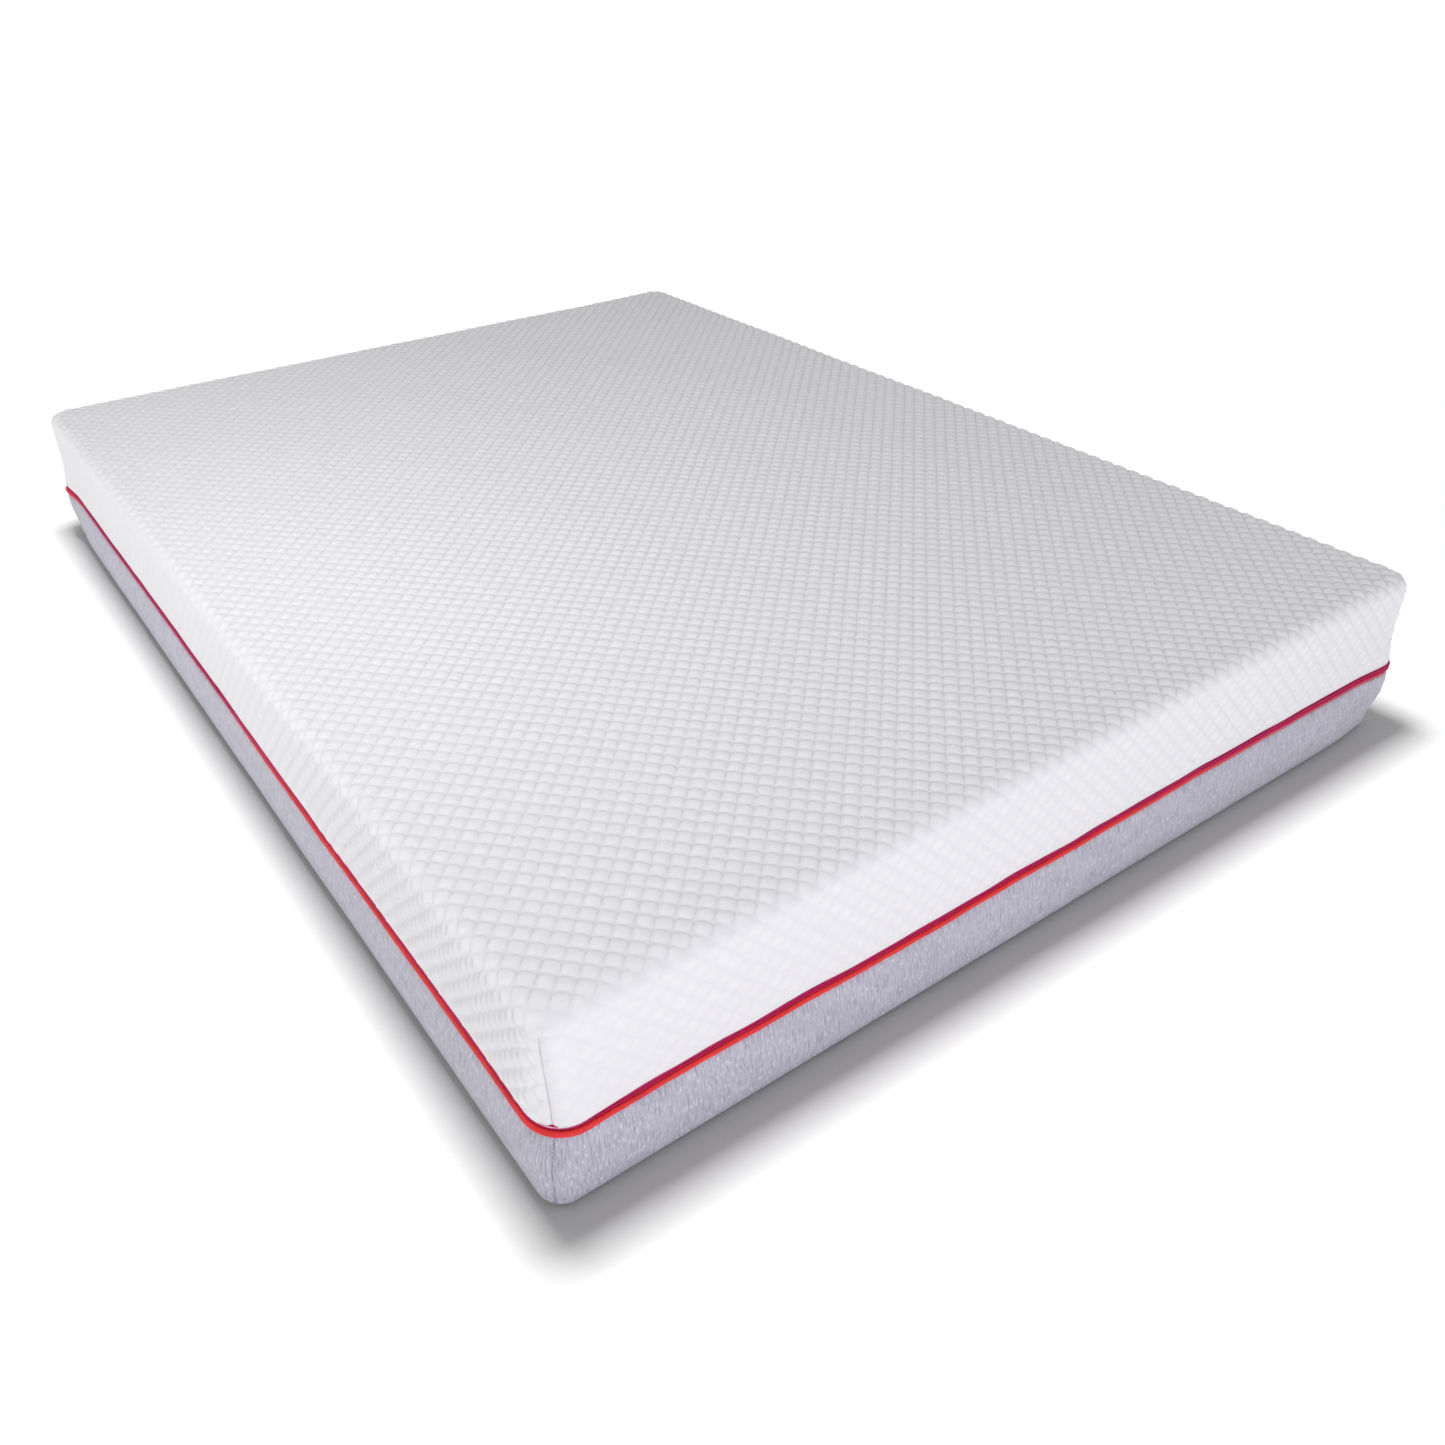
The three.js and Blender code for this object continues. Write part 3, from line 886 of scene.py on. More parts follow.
@dataclass(frozen=True)
class NylonCoil(SolidFinish):
    """Drawn nylon monofilament: smooth, half-glossy, with the dye a little uneven."""

    bright: str = "#C80A5C"
    deep: str = "#AE064E"

    def colour_and_relief(self, tree: Tree, cloth: Socket) -> tuple[Socket, Socket]:
        """Varies the dye and keeps a faint drawing grain.

        Args:
            tree: The material's nodes.
            cloth: Place on the surface, mm.

        Returns:
            The colour socket and the relief socket.
        """
        cloud = stretched_noise(tree, cloth, (9.0, 9.0, 3.0))
        grain = stretched_noise(tree, cloth, (0.6, 0.6, 0.6))
        return blend(tree, cloud, (0.3, 0.7), self.deep, self.bright), grain


@dataclass(frozen=True)
class EnamelledZinc(SolidFinish):
    """Die-cast zinc under stoved enamel: glossy, faintly orange-peeled, rubbed to metal on its edges."""

    enamel: str = "#7D1038"
    worn: str = "#B9A7AC"

    def colour_and_relief(self, tree: Tree, cloth: Socket) -> tuple[Socket, Socket]:
        """Rubs the enamel off the sharpest edges, in patches.

        Args:
            tree: The material's nodes.
            cloth: Place on the surface, mm.

        Returns:
            The colour socket and the relief socket.
        """
        edge = add_node(tree, "ShaderNodeNewGeometry").outputs["Pointiness"]
        patch = blend(tree, stretched_noise(tree, cloth, (0.9, 0.9, 0.9)), (0.5, 0.7), self.enamel, self.worn)
        peel = stretched_noise(tree, cloth, (1.2, 1.2, 1.2))
        return blend(tree, edge, (0.58, 0.85), self.enamel, patch), peel


@dataclass(frozen=True)
class SockJersey(Finish):
    """Fine undyed jersey stretched over the foam: off-white, matte, with faint ladders along the wales."""

    yarn: str = "#F1F0EC"
    ladder: str = "#E0DFDA"
    wale: float = 2.4

    def colour_and_relief(self, tree: Tree, cloth: Socket) -> tuple[Socket, Socket]:
        """Draws the loops at twice their real 1.2 mm so that they show.

        Args:
            tree: The material's nodes.
            cloth: Place on the surface, mm.

        Returns:
            The colour socket and the relief socket.
        """
        yarn = loops(tree, cloth, self.wale, self.wale)
        line = stretched_noise(tree, cloth, (3.0, 70.0, 1.0))
        return blend(tree, line, (0.5, 0.7), self.yarn, self.ladder), yarn


@dataclass(frozen=True)
class CutFoam(SolidFinish):
    """Open-cell foam cut with a blade: chalky and finely pitted.

    Attributes:
        body: Colour of the foam.
        pit: Colour painted in the open cells, as painted shade in the pits.
        cell: Cell size, mm. The real 0.5 mm is drawn at 2.5 mm so that it shows.
    """

    body: str = "#F5F2DF"
    pit: str = "#DDD9C2"
    cell: float = 2.5

    def colour_and_relief(self, tree: Tree, cloth: Socket) -> tuple[Socket, Socket]:
        """Pits the cut face with open cells and paints shade into them.

        Args:
            tree: The material's nodes.
            cloth: Place on the surface, mm.

        Returns:
            The colour socket and the relief socket.
        """
        cells = add_node(tree, "ShaderNodeTexVoronoi", feeds={"Vector": cloth, "Scale": 1.0 / self.cell})
        feeds = {"Value": cells.outputs["Distance"], "From Min": 0.15, "From Max": 0.55}
        depth = add_node(tree, "ShaderNodeMapRange", feeds=feeds).outputs["Result"]
        # Painted shade: the deeper into a cell, the nearer the colour comes to the darker pit colour.
        return blend(tree, depth, (0.0, 1.0), self.pit, self.body), depth


@dataclass(frozen=True)
class TwistedCotton(Finish):
    """Soft-spun cotton cord: undyed, fuzzy, with its strands' lay across it."""

    yarn: str = "#F0EDE6"
    shadow: str = "#D3CDBF"

    def colour_and_relief(self, tree: Tree, cloth: Socket) -> tuple[Socket, Socket]:
        """Lays fibres along the strands."""
        fibre = stretched_noise(tree, cloth, (0.8, 5.0, 1.0), 3.0)
        return blend(tree, fibre, (0.35, 0.65), self.shadow, self.yarn), fibre


@dataclass(frozen=True)
class SewingThread(SolidFinish):
    """Spun polyester sewing thread: soft, finely twisted."""

    thread: str = "#D9D9E0"
    shadow: str = "#8F8F9C"

    def colour_and_relief(self, tree: Tree, cloth: Socket) -> tuple[Socket, Socket]:
        """Twists the thread."""
        twist = stretched_noise(tree, cloth, (0.4, 0.4, 0.8))
        return blend(tree, twist, (0.3, 0.7), self.shadow, self.thread), twist


@dataclass(frozen=True)
class StudioPaper(SolidFinish):
    """Seamless background paper: flat and pale with a faint tooth, white under its own light."""

    sheet: str = "#CECECE"
    tooth: str = "#CCCCCC"

    def colour_and_relief(self, tree: Tree, cloth: Socket) -> tuple[Socket, Socket]:
        """Gives the paper its tooth."""
        tooth = stretched_noise(tree, cloth, (4.0, 4.0, 4.0))
        return blend(tree, tooth, (0.0, 1.0), self.sheet, self.tooth), tooth


def dress(piece: Piece, finish: Finish) -> None:
    """Puts one finish on the whole of a piece.

    Args:
        piece: The piece.
        finish: Its finish.
    """
    piece.data.materials.clear()
    piece.data.materials.append(finish.material())


# ---------------------------------------------------------------- the cover's top half


@dataclass
class TopCover:
    """The white bubble-knit half: one cloth over the top and down all four sides, with corner darts.

    Attributes:
        pitch: Spacing of the bubbles along X and along Y, in rows that are offset by half, mm.
        relief: Height of a bubble, mm.
        steps: Where each bubble is divided, from -1 at one crease to 1 at the next.
        top: Height of the creases on the sleep surface, mm.
        wall_inset: Inset of the creases on the walls, mm.
        edge_radius: Radius of the bend from the top to the walls, mm.
        hem: Height of the turned-in hem, mm.
        backing_inset: Inset of the backing cloth on the walls, mm.
        backing_top: Height of the backing under the top, mm.
        rib_depth: Depth of the ribs where the cloth is gathered, mm.
        dart_depth: Depth of the corner darts' groove, mm.
        dart_width: Half its width, mm.
    """

    outline: Outline
    drape: Drape
    pitch: tuple[float, float] = (25.4, 26.6)
    relief: float = 3.4
    steps: tuple[float, ...] = (-1.0, -0.82, -0.36, 0.36, 0.82)
    top: float = 247.0
    wall_inset: float = 3.4
    edge_radius: float = 15.0
    hem: float = 106.2
    backing_inset: float = 7.7
    backing_top: float = 244.0
    rib_depth: float = 1.5
    dart_depth: float = 1.8
    dart_width: float = 3.0
    finish: BubbleKnit = field(default_factory=lambda: BubbleKnit("double_jacquard_knit", sheen=0.25))

    def __post_init__(self) -> None:
        """Works out the fold from the top to the hem."""
        self.wall = self.outline.radius - self.wall_inset
        self.flat = self.wall - self.edge_radius
        self.bend_end = self.flat + self.edge_radius * math.pi / 2.0
        self.end = self.bend_end + self.top - self.edge_radius - (self.hem + 1.5)

    def fold(self, run: np.ndarray) -> tuple[np.ndarray, np.ndarray, np.ndarray]:
        """Folds the cloth from the top over the edge and down the wall.

        Args:
            run: Distance along the cloth from the corner's centre line, mm.

        Returns:
            Distance out, height, and the tilt of the cloth's normal from upright.
        """
        tilt = np.clip((run - self.flat) / self.edge_radius, 0.0, math.pi / 2.0)
        out = np.minimum(run, self.flat) + self.edge_radius * np.sin(tilt)
        height = self.top - self.edge_radius * (1.0 - np.cos(tilt)) - np.maximum(run - self.bend_end, 0.0)
        return out, height, tilt

    def lattice(self) -> tuple[np.ndarray, ...]:
        """Lays the bubble lattice on the flat cloth, each cell a square on its corner.

        Returns:
            Cloth x and y, bubble height share, and cell numbers, on one grid along the cells' sides.
        """
        half_x = self.pitch[0] / 2.0
        half_y = self.pitch[1] / 2.0
        reach_x = self.outline.core_x + self.end
        reach_y = self.outline.core_y + self.end
        cells = math.ceil((reach_x / half_x + reach_y / half_y) / 2.0) + 1
        line = (2.0 * np.arange(-cells, cells + 1)[:, None] + np.array(self.steps)).ravel()
        inside = np.tile(np.array(self.steps), 2 * cells + 1)
        number = np.repeat(np.arange(-cells, cells + 1), len(self.steps))
        first, second = np.meshgrid(line, line, indexing="ij")
        x = half_x * (first + second) / 2.0
        y = half_y * (first - second) / 2.0
        girth = (np.abs(inside[:, None]) ** 3 + np.abs(inside[None, :]) ** 3) ** (1.0 / 3.0)
        share = np.maximum(1.0 - girth**2.4, 0.0) ** 0.6 - 0.25 * smoothstep(1.0, 1.26, girth)
        luck = np.random.default_rng(5).uniform(0.86, 1.06, (2 * cells + 1, 2 * cells + 1))
        return x, y, share * luck[np.ix_(number + cells, number + cells)]

    def shape(self, x: np.ndarray, y: np.ndarray, share: np.ndarray) -> dict[str, np.ndarray]:
        """Folds points of the flat cloth into place.

        Args:
            x: Cloth x, mm.
            y: Cloth y, mm.
            share: Bubble height share.

        Returns:
            Points in mm, each one's arc length, whether it is past the hem or the dart, and its relief.
        """
        outline = self.outline
        past_x = np.abs(x) - outline.core_x
        past_y = np.abs(y) - outline.core_y
        corner = (past_x > 0) & (past_y > 0)
        major = np.maximum(past_x, past_y)
        minor = np.clip(np.minimum(past_x, past_y), 0.0, None)
        on_wall = smoothstep(outline.radius * 0.8, outline.radius * 1.6, major)
        round_run = np.hypot(np.maximum(major, 0.0), minor)
        round_turn = np.arctan2(minor, np.maximum(major, TINY))
        run = np.where(major > 0, (1 - on_wall) * round_run + on_wall * major, 0.0)
        turned = (1 - on_wall) * round_turn + on_wall * minor / self.wall
        past_dart = corner & (turned >= math.pi / 4.0)
        turned = np.minimum(turned, math.pi / 4.0)
        past_hem = run >= self.end
        run = np.minimum(run, self.end)
        out, height, tilt = self.fold(run)
        side_x, side_y = np.sign(x), np.sign(y)
        by_x = past_x >= past_y
        cosine = np.where(by_x, np.cos(turned), np.sin(turned))
        sine = np.where(by_x, np.sin(turned), np.cos(turned))
        away_x, away_y = side_x * cosine, side_y * sine
        foot_x = np.where(past_x > 0, side_x * outline.core_x, x)
        foot_y = np.where(past_y > 0, side_y * outline.core_y, y)
        arc = outline.arc_at(foot_x, foot_y, np.arctan2(away_y, away_x))
        wall_share = smoothstep(0.2, 1.3, tilt)
        to_dart = np.where(corner, (math.pi / 4.0 - turned) * self.wall, 99.0)
        calm = 1.0 - smoothstep(0.5, 1.4, tilt) * bell(to_dart, 8.0)
        calm = calm * smoothstep(0.0, 9.0, self.end - run) * self.tautness(arc, tilt)
        share = np.maximum(share, 0.0) ** (1.0 + 1.1 * wall_share) + np.minimum(share, 0.0)
        above_hem = smoothstep(2.0, 26.0, self.end - run)
        lift = self.relief * share * calm + self.ribs(arc, to_dart, tilt, y) * above_hem
        swelling = np.clip(out / self.wall, 0.0, 1.0) ** 2 * self.drape.swelling(arc, height)
        swelling += wall_share * self.drape.dart(arc, height, self.dart_depth, self.dart_width)
        at_hem = smoothstep(60.0, 0.0, height - self.hem)
        height = height + wall_share * (self.drape.rise(arc, height) - at_hem * self.drape.hem_dip(arc))
        z = height + lift * np.cos(tilt) + (1 - wall_share) * self.waviness(x, y)
        outward = np.where(major > 0, out + lift * np.sin(tilt) + swelling, 0.0)
        points = np.stack([foot_x + away_x * outward, foot_y + away_y * outward, z], -1)
        return {"points": points, "arc": arc, "hem": past_hem, "dart": past_dart, "relief": share * calm}

    def darts(self) -> list[np.ndarray]:
        """Gives the line of each corner's dart, from below the edge to the hem.

        Returns:
            One array of points for each dart, mm.
        """
        run = np.linspace(self.bend_end - 12.0, self.end - 2.0, 60)
        lines = []
        for side_x in (-1, 1):
            for side_y in (-1, 1):
                x = side_x * (self.outline.core_x + run)
                y = side_y * (self.outline.core_y + run)
                lines.append(self.shape(x, y, np.zeros(len(run)))["points"])
        return lines

    def tautness(self, arc: np.ndarray, tilt: np.ndarray) -> np.ndarray:
        """Gives how much relief the stretched cloth keeps: least on the front wall by the near corner.

        Args:
            arc: Arc lengths, mm.
            tilt: Tilt of the cloth, radians.

        Returns:
            The share of the relief that is left.
        """
        past = arc - self.drape.at(Corner.NEAR)
        from_left = arc - self.drape.at(Corner.LEFT)
        far_left = smoothstep(500.0, 1300.0, -past) * smoothstep(-70.0, 50.0, from_left)
        pulled = np.where(past > 0, np.exp(-past / 420.0), far_left)
        return 1.0 - (0.3 * (1.0 - self.gather(arc)) + 0.4 * pulled) * smoothstep(0.1, 0.9, tilt)

    def gather(self, arc: np.ndarray) -> np.ndarray:
        """Gives how far the cloth is gathered, 0 to 1: most on the left wall by the near corner."""
        before = self.drape.at(Corner.NEAR) - arc
        return smoothstep(4.0, 16.0, before) * smoothstep(1000.0, 250.0, before)

    def ribs(self, arc: np.ndarray, to_dart: np.ndarray, tilt: np.ndarray, y: np.ndarray) -> np.ndarray:
        """Draws the gathered cloth's rows of bubbles together into ribs down the wall.

        Args:
            arc: Arc lengths, mm.
            to_dart: Distance from the corner's dart, mm.
            tilt: Tilt of the cloth, radians.
            y: Cloth y, mm.

        Returns:
            Outward shifts, mm.
        """
        rows = np.cos(2.0 * math.pi * y / (self.pitch[1] / 2.0))
        strength = self.gather(arc) * smoothstep(0.5, 1.3, tilt) * smoothstep(5.0, 14.0, to_dart)
        return self.rib_depth * strength * (rows - 0.4)

    def waviness(self, x: np.ndarray, y: np.ndarray) -> np.ndarray:
        """Gives the sleep surface's slight waves, mm."""
        waves = Ripple(21, 2600.0, 1300.0, 320.0, 6)
        return 0.55 * waves.at(x + 0.4 * y, 0.7 * y)

    def build(self) -> Piece:
        """Makes the cloth, its turned-in hem and its backing as one closed skin.

        Returns:
            The piece.
        """
        x, y, share = self.lattice()
        rows, columns = x.shape
        shape = self.shape(x, y, share)
        index = np.arange(rows * columns).reshape(rows, columns)
        around = [index[:-1, :-1], index[:-1, 1:], index[1:, 1:], index[1:, :-1]]
        corners = np.stack(around, -1).reshape(-1, 4)
        for stop in ("hem", "dart"):
            corners = corners[~shape[stop].ravel()[corners].all(1)]
        points = shape["points"].reshape(-1, 3)
        keys = np.round(points[corners.ravel()] / 0.02).astype(np.int64)
        unique, first, back = np.unique(keys, axis=0, return_index=True, return_inverse=True)
        source = corners.ravel()[first]
        quads = back.reshape(-1, 4)
        reach = np.array([self.outline.core_x, self.outline.core_y]) + self.end
        flat = np.stack([x.ravel(), y.ravel()], -1)
        faces, cloth, bake = [], [], []
        flat_bake = (np.clip(flat / reach, -1.0, 1.0) + 1.0) / 2.0 * np.array([0.8, 1.0])
        for quad, original in zip(quads.tolist(), corners.tolist()):
            kept = [at for at in range(4) if quad[at] != quad[at - 1]]
            if len(kept) < 3:
                continue
            faces.append([quad[at] for at in kept])
            cloth += [flat[original[at]] for at in kept]
            bake += [flat_bake[original[at]] for at in kept]
        relief = shape["relief"].ravel()[source]
        used = np.zeros(len(source), bool)
        used[np.concatenate([np.array(face) for face in faces])] = True
        hem = np.flatnonzero(shape["hem"].ravel()[source] & used)
        hem = hem[np.argsort(shape["arc"].ravel()[source][hem])]
        body = points[source]
        hem_arc = shape["arc"].ravel()[source][hem]
        inner, inner_faces, inner_cloth, inner_bake = self.backing(body, hem, hem_arc)
        maps = {"OFBake": np.array(bake + inner_bake), "cloth": np.array(cloth + inner_cloth) * MM}
        made = make_object("bubble_knit_top", np.vstack([body, inner]) * MM, faces + inner_faces, maps)
        # The relief attribute also drives the knit's painted shade in the creases; the backing gets 1
        # everywhere, so no painted shade there.
        attribute = made.data.attributes.new("relief", "FLOAT", "POINT")
        values = np.concatenate([relief, np.ones(len(inner))]).astype(np.float32)
        attribute.data.foreach_set("value", values)
        return made

    def backing(
        self, body: np.ndarray, hem: np.ndarray, arc: np.ndarray
    ) -> tuple[np.ndarray, list, list, list]:
        """Turns the hem in and carries the backing up the walls and under the top.

        Args:
            body: The outer cloth's points, mm.
            hem: Indices of its hem, in order round the mattress.
            arc: Their arc lengths, mm.

        Returns:
            New points in mm, new faces, and their cloth and bake maps.
        """
        wall, inside, top = self.wall_inset, self.backing_inset, self.backing_top
        section = [(wall + 0.5, self.hem + 0.5), (wall + 1.5, self.hem), (wall + 3.0, self.hem + 0.1)]
        section += [(inside, level) for level in (self.hem + 1.4, 130.0, 180.0, 230.0)]
        section += [(inside + 3.5, top - 4.0), (inside + 12.0, top), (self.outline.radius - 3.0, top)]
        rings = []
        for inset, height in section:
            level = np.full(len(arc), height)
            shift = self.drape.swelling(arc, level)
            plan = self.outline.places(arc, inset - shift)
            dip = self.drape.hem_dip(arc) * float(smoothstep(60.0, 0.0, np.array(height - self.hem)))
            rings.append(np.column_stack([plan, level + self.drape.rise(arc, level) - dip]))
        count = len(hem)
        offset = len(body)
        indices = [hem] + [offset + row * count + np.arange(count) for row in range(len(section))]
        faces, cloth, bake = [], [], []
        turn = self.outline.turn
        along = np.append(arc, turn + arc[0])
        for row in range(len(section)):
            upper, lower = indices[row], indices[row + 1]
            for column in range(count):
                after = (column + 1) % count
                faces.append([upper[column], lower[column], lower[after], upper[after]])
                left, right = along[column], along[column + 1]
                near, far = row * 20.0, row * 20.0 + 20.0
                cloth += [(left, near), (left, far), (right, far), (right, near)]
                low, high = 0.82 + row * 0.008, 0.828 + row * 0.008
                first, last = left / (turn + 99.0), right / (turn + 99.0)
                bake += [(low, first), (high, first), (high, last), (low, last)]
        faces.append(indices[-1][::-1].tolist())
        half_x, half_y = self.outline.half_x, self.outline.half_y
        for x, y, _ in rings[-1][::-1]:
            cloth.append((x, y))
            bake.append((0.955 + x / half_x * 0.04, 0.5 + y / half_y * 0.45))
        return np.vstack(rings), [list(map(int, face)) for face in faces], cloth, bake

    def dress(self, piece: Piece) -> None:
        """Dresses and mounts the piece, and hides its CAD part.

        Args:
            piece: The piece.
        """
        dress(piece, self.finish)
        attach(piece, "cover_top_half")
        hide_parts("top_cover")


# ---------------------------------------------------------------- the tray, piping and zip


@dataclass
class BaseCover:
    """The grey melange tray: the border and, in one piece with it, the underside.

    Attributes:
        turn_under: Depth of the border that is turned up from the flat cloth, mm; not used.
        rim: Inset of the underside's inner edge in the drawn section, mm.
        dart_depth: Depth of the corner darts' groove, mm.
        dart_width: Half its width, mm.
    """

    outline: Outline
    drape: Drape
    turn_under: float = 84.0
    rim: float = 34.0
    dart_depth: float = 2.8
    dart_width: float = 1.9
    finish: MelangeKnit = field(default_factory=lambda: MelangeKnit("melange_jersey", sheen=0.2))

    def section(self) -> np.ndarray:
        """Gives the tray's section from inside the piping, down the outside and under.

        Returns:
            (inset, height) rows, mm.
        """
        outer = [
            (7.4, 84.0), (6.4, 90.4), (4.6, 91.2), (3.0, 89.6), (1.0, 84.0), (-1.0, 73.0), (-3.0, 57.0),
            (-4.0, 40.0), (-4.0, 24.0), (-2.8, 12.0), (0.4, 4.6), (5.5, 1.0), (13.0, 0.1), (self.rim, 0.0),
        ]
        return smooth_section(outer, 3.2)

    def build(self) -> Piece:
        """Makes the tray as one closed skin.

        Returns:
            The piece.
        """
        arc = self.outline.stations()
        outer = self.section()
        inner = np.array([(self.rim, 2.4), (16.0, 2.5), (10.6, 5.0), (8.8, 14.0), (8.4, 50.0), (8.3, 82.0)])
        inset, height = spread(np.vstack([inner, outer]), arc)
        along = np.broadcast_to(arc, inset.shape)
        outside = np.zeros(inset.shape)
        outside[len(inner):] = 1.0
        wall = smoothstep(2.0, 16.0, height)
        under = smoothstep(self.rim, 12.0, inset)
        groove = self.drape.dart(along, height, self.dart_depth, self.dart_width)
        groove = groove * smoothstep(0.0, 10.0, 96.0 - height)
        inset = inset - outside * (under * self.drape.swelling(along, height) + wall * groove)
        height = height + self.drape.rise(along, height) * smoothstep(4.0, 40.0, height)
        return sweep("melange_tray", self.outline, arc, inset, height, caps=(0, -1))

    def darts(self) -> list[np.ndarray]:
        """Gives the line of each corner's dart, from under the piping to the floor.

        Returns:
            One array of points for each dart, mm.
        """
        outer = self.section()
        outer = outer[(outer[:, 1] < 88.0) & (outer[:, 1] > 3.0)]
        lines = []
        for corner in self.outline.corners:
            arc = np.full(len(outer), corner)
            height = outer[:, 1]
            wall = smoothstep(2.0, 16.0, height)
            groove = self.drape.dart(arc, height, self.dart_depth, self.dart_width)
            out = self.drape.swelling(arc, height) + wall * groove
            plan = self.outline.places(arc, outer[:, 0] - out - 0.3)
            rise = self.drape.rise(arc, height) * smoothstep(4.0, 40.0, height)
            lines.append(np.column_stack([plan, height + rise]))
        return lines

    def dress(self, piece: Piece) -> None:
        """Dresses and mounts the piece, and hides its CAD part.

        Args:
            piece: The piece.
        """
        dress(piece, self.finish)
        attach(piece, "mattress_base")
        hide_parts("base_cover")


@dataclass
class Piping:
    """The red piping: a folded strip of cloth round a cord, with its two plies as a flange below.

    Attributes:
        inset: Inset of the cord's middle, mm.
        height: Height of the cord's middle, mm.
        radius: Radius over the cloth, mm.
        cord_radius: Radius of the cord, mm.
        flange_inset: Inset of the flange, mm.
        flange_foot: Height of the flange's raw edge, mm.
        flange_thickness: Thickness of the two plies, mm.
        rolled_in: How far the piping moves in where the zip rolls over it, mm.
        sides: How many points go round the wrap.
    """

    outline: Outline
    drape: Drape
    inset: float = 3.0
    height: float = 95.2
    radius: float = 3.15
    cord_radius: float = 2.3
    flange_inset: float = 6.2
    flange_foot: float = 80.0
    flange_thickness: float = 0.8
    rolled_in: float = 2.2
    sides: int = 16

    def carry(self, arc: np.ndarray, inset: np.ndarray, height: np.ndarray) -> tuple[np.ndarray, np.ndarray]:
        """Moves a section with the zip line's wander.

        Args:
            arc: The stations, mm.
            inset: Section insets by station, mm.
            height: Section heights by station, mm.

        Returns:
            The moved insets and heights.
        """
        level = np.full(len(arc), self.height)
        out = self.drape.swelling(arc, level)
        rise = self.drape.rise(arc, level)
        return inset - out, height + rise

    def build_wrap(self) -> Piece:
        """Makes the wrap as a closed section: round over the cord and flat down the flange.

        Returns:
            The piece.
        """
        arc = self.outline.stations(5.0)
        angles = math.radians(-62.0) + np.linspace(0.0, math.radians(344.0), self.sides)
        pinch = Ripple(31, self.outline.turn, 60.0, 12.0).at(arc)
        swollen = 0.08 * self.drape.near_corner(arc, Corner.NEAR, 62.0) - 0.2 * self.drape.roll(arc)
        radius = self.radius * (1.0 + 0.03 * pinch + swollen)
        inset = self.inset + self.rolled_in * self.drape.roll(arc) + radius * np.cos(angles)[:, None]
        height = self.height + radius * np.sin(angles)[:, None]
        thick = self.flange_thickness
        flange = [(self.flange_inset, 88.0), (self.flange_inset + 0.3, self.flange_foot)]
        flange += [(self.flange_inset + 0.3 + thick, self.flange_foot), (self.flange_inset + thick, 88.0)]
        flange_inset, flange_height = spread(np.array(flange), arc)
        inset = np.vstack([inset, flange_inset])
        height = np.vstack([height, flange_height])
        inset, height = self.carry(arc, inset, height)
        return sweep("piping_cloth", self.outline, arc, inset, height, closed=True)

    def build_cord(self) -> Piece:
        """Makes the filler as a cord of three strands.

        Returns:
            The piece.
        """
        arc = self.outline.stations(5.0, 2.5)
        angles = np.linspace(0.0, 2.0 * math.pi, 12, endpoint=False)[:, None]
        lay = 2.0 * math.pi * round(self.outline.turn / 26.0) / self.outline.turn
        radius = self.cord_radius * (0.9 + 0.1 * np.abs(np.cos(1.5 * (angles - lay * arc))))
        radius = radius * (1.0 - 0.2 * self.drape.roll(arc))
        inset = self.inset + self.rolled_in * self.drape.roll(arc) + radius * np.cos(angles)
        height = self.height + radius * np.sin(angles)
        inset, height = self.carry(arc, inset, height)
        return sweep("filler_cord", self.outline, arc, inset, height, closed=True)

    def dress(self, wrap: Piece, cord: Piece) -> None:
        """Dresses and mounts both pieces.

        Args:
            wrap: The piping cloth.
            cord: The filler.
        """
        dress(wrap, PlainWeave("woven_piping_cloth", roughness=0.65, sheen=0.05))
        dress(cord, TwistedCotton("spun_cotton_cord", roughness=0.95))
        for piece, node in ((wrap, "piping_wrap"), (cord, "piping_cord")):
            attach(piece, "mattress_base")
            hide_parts(node)


class ZipHalf(Enum):
    """Which half of the zip: its name, tape foot, coil foot and body."""

    LOWER = ("lower", 85.6, 99.8, "mattress_base")
    UPPER = ("upper", 102.8, 102.8, "cover_top_half")


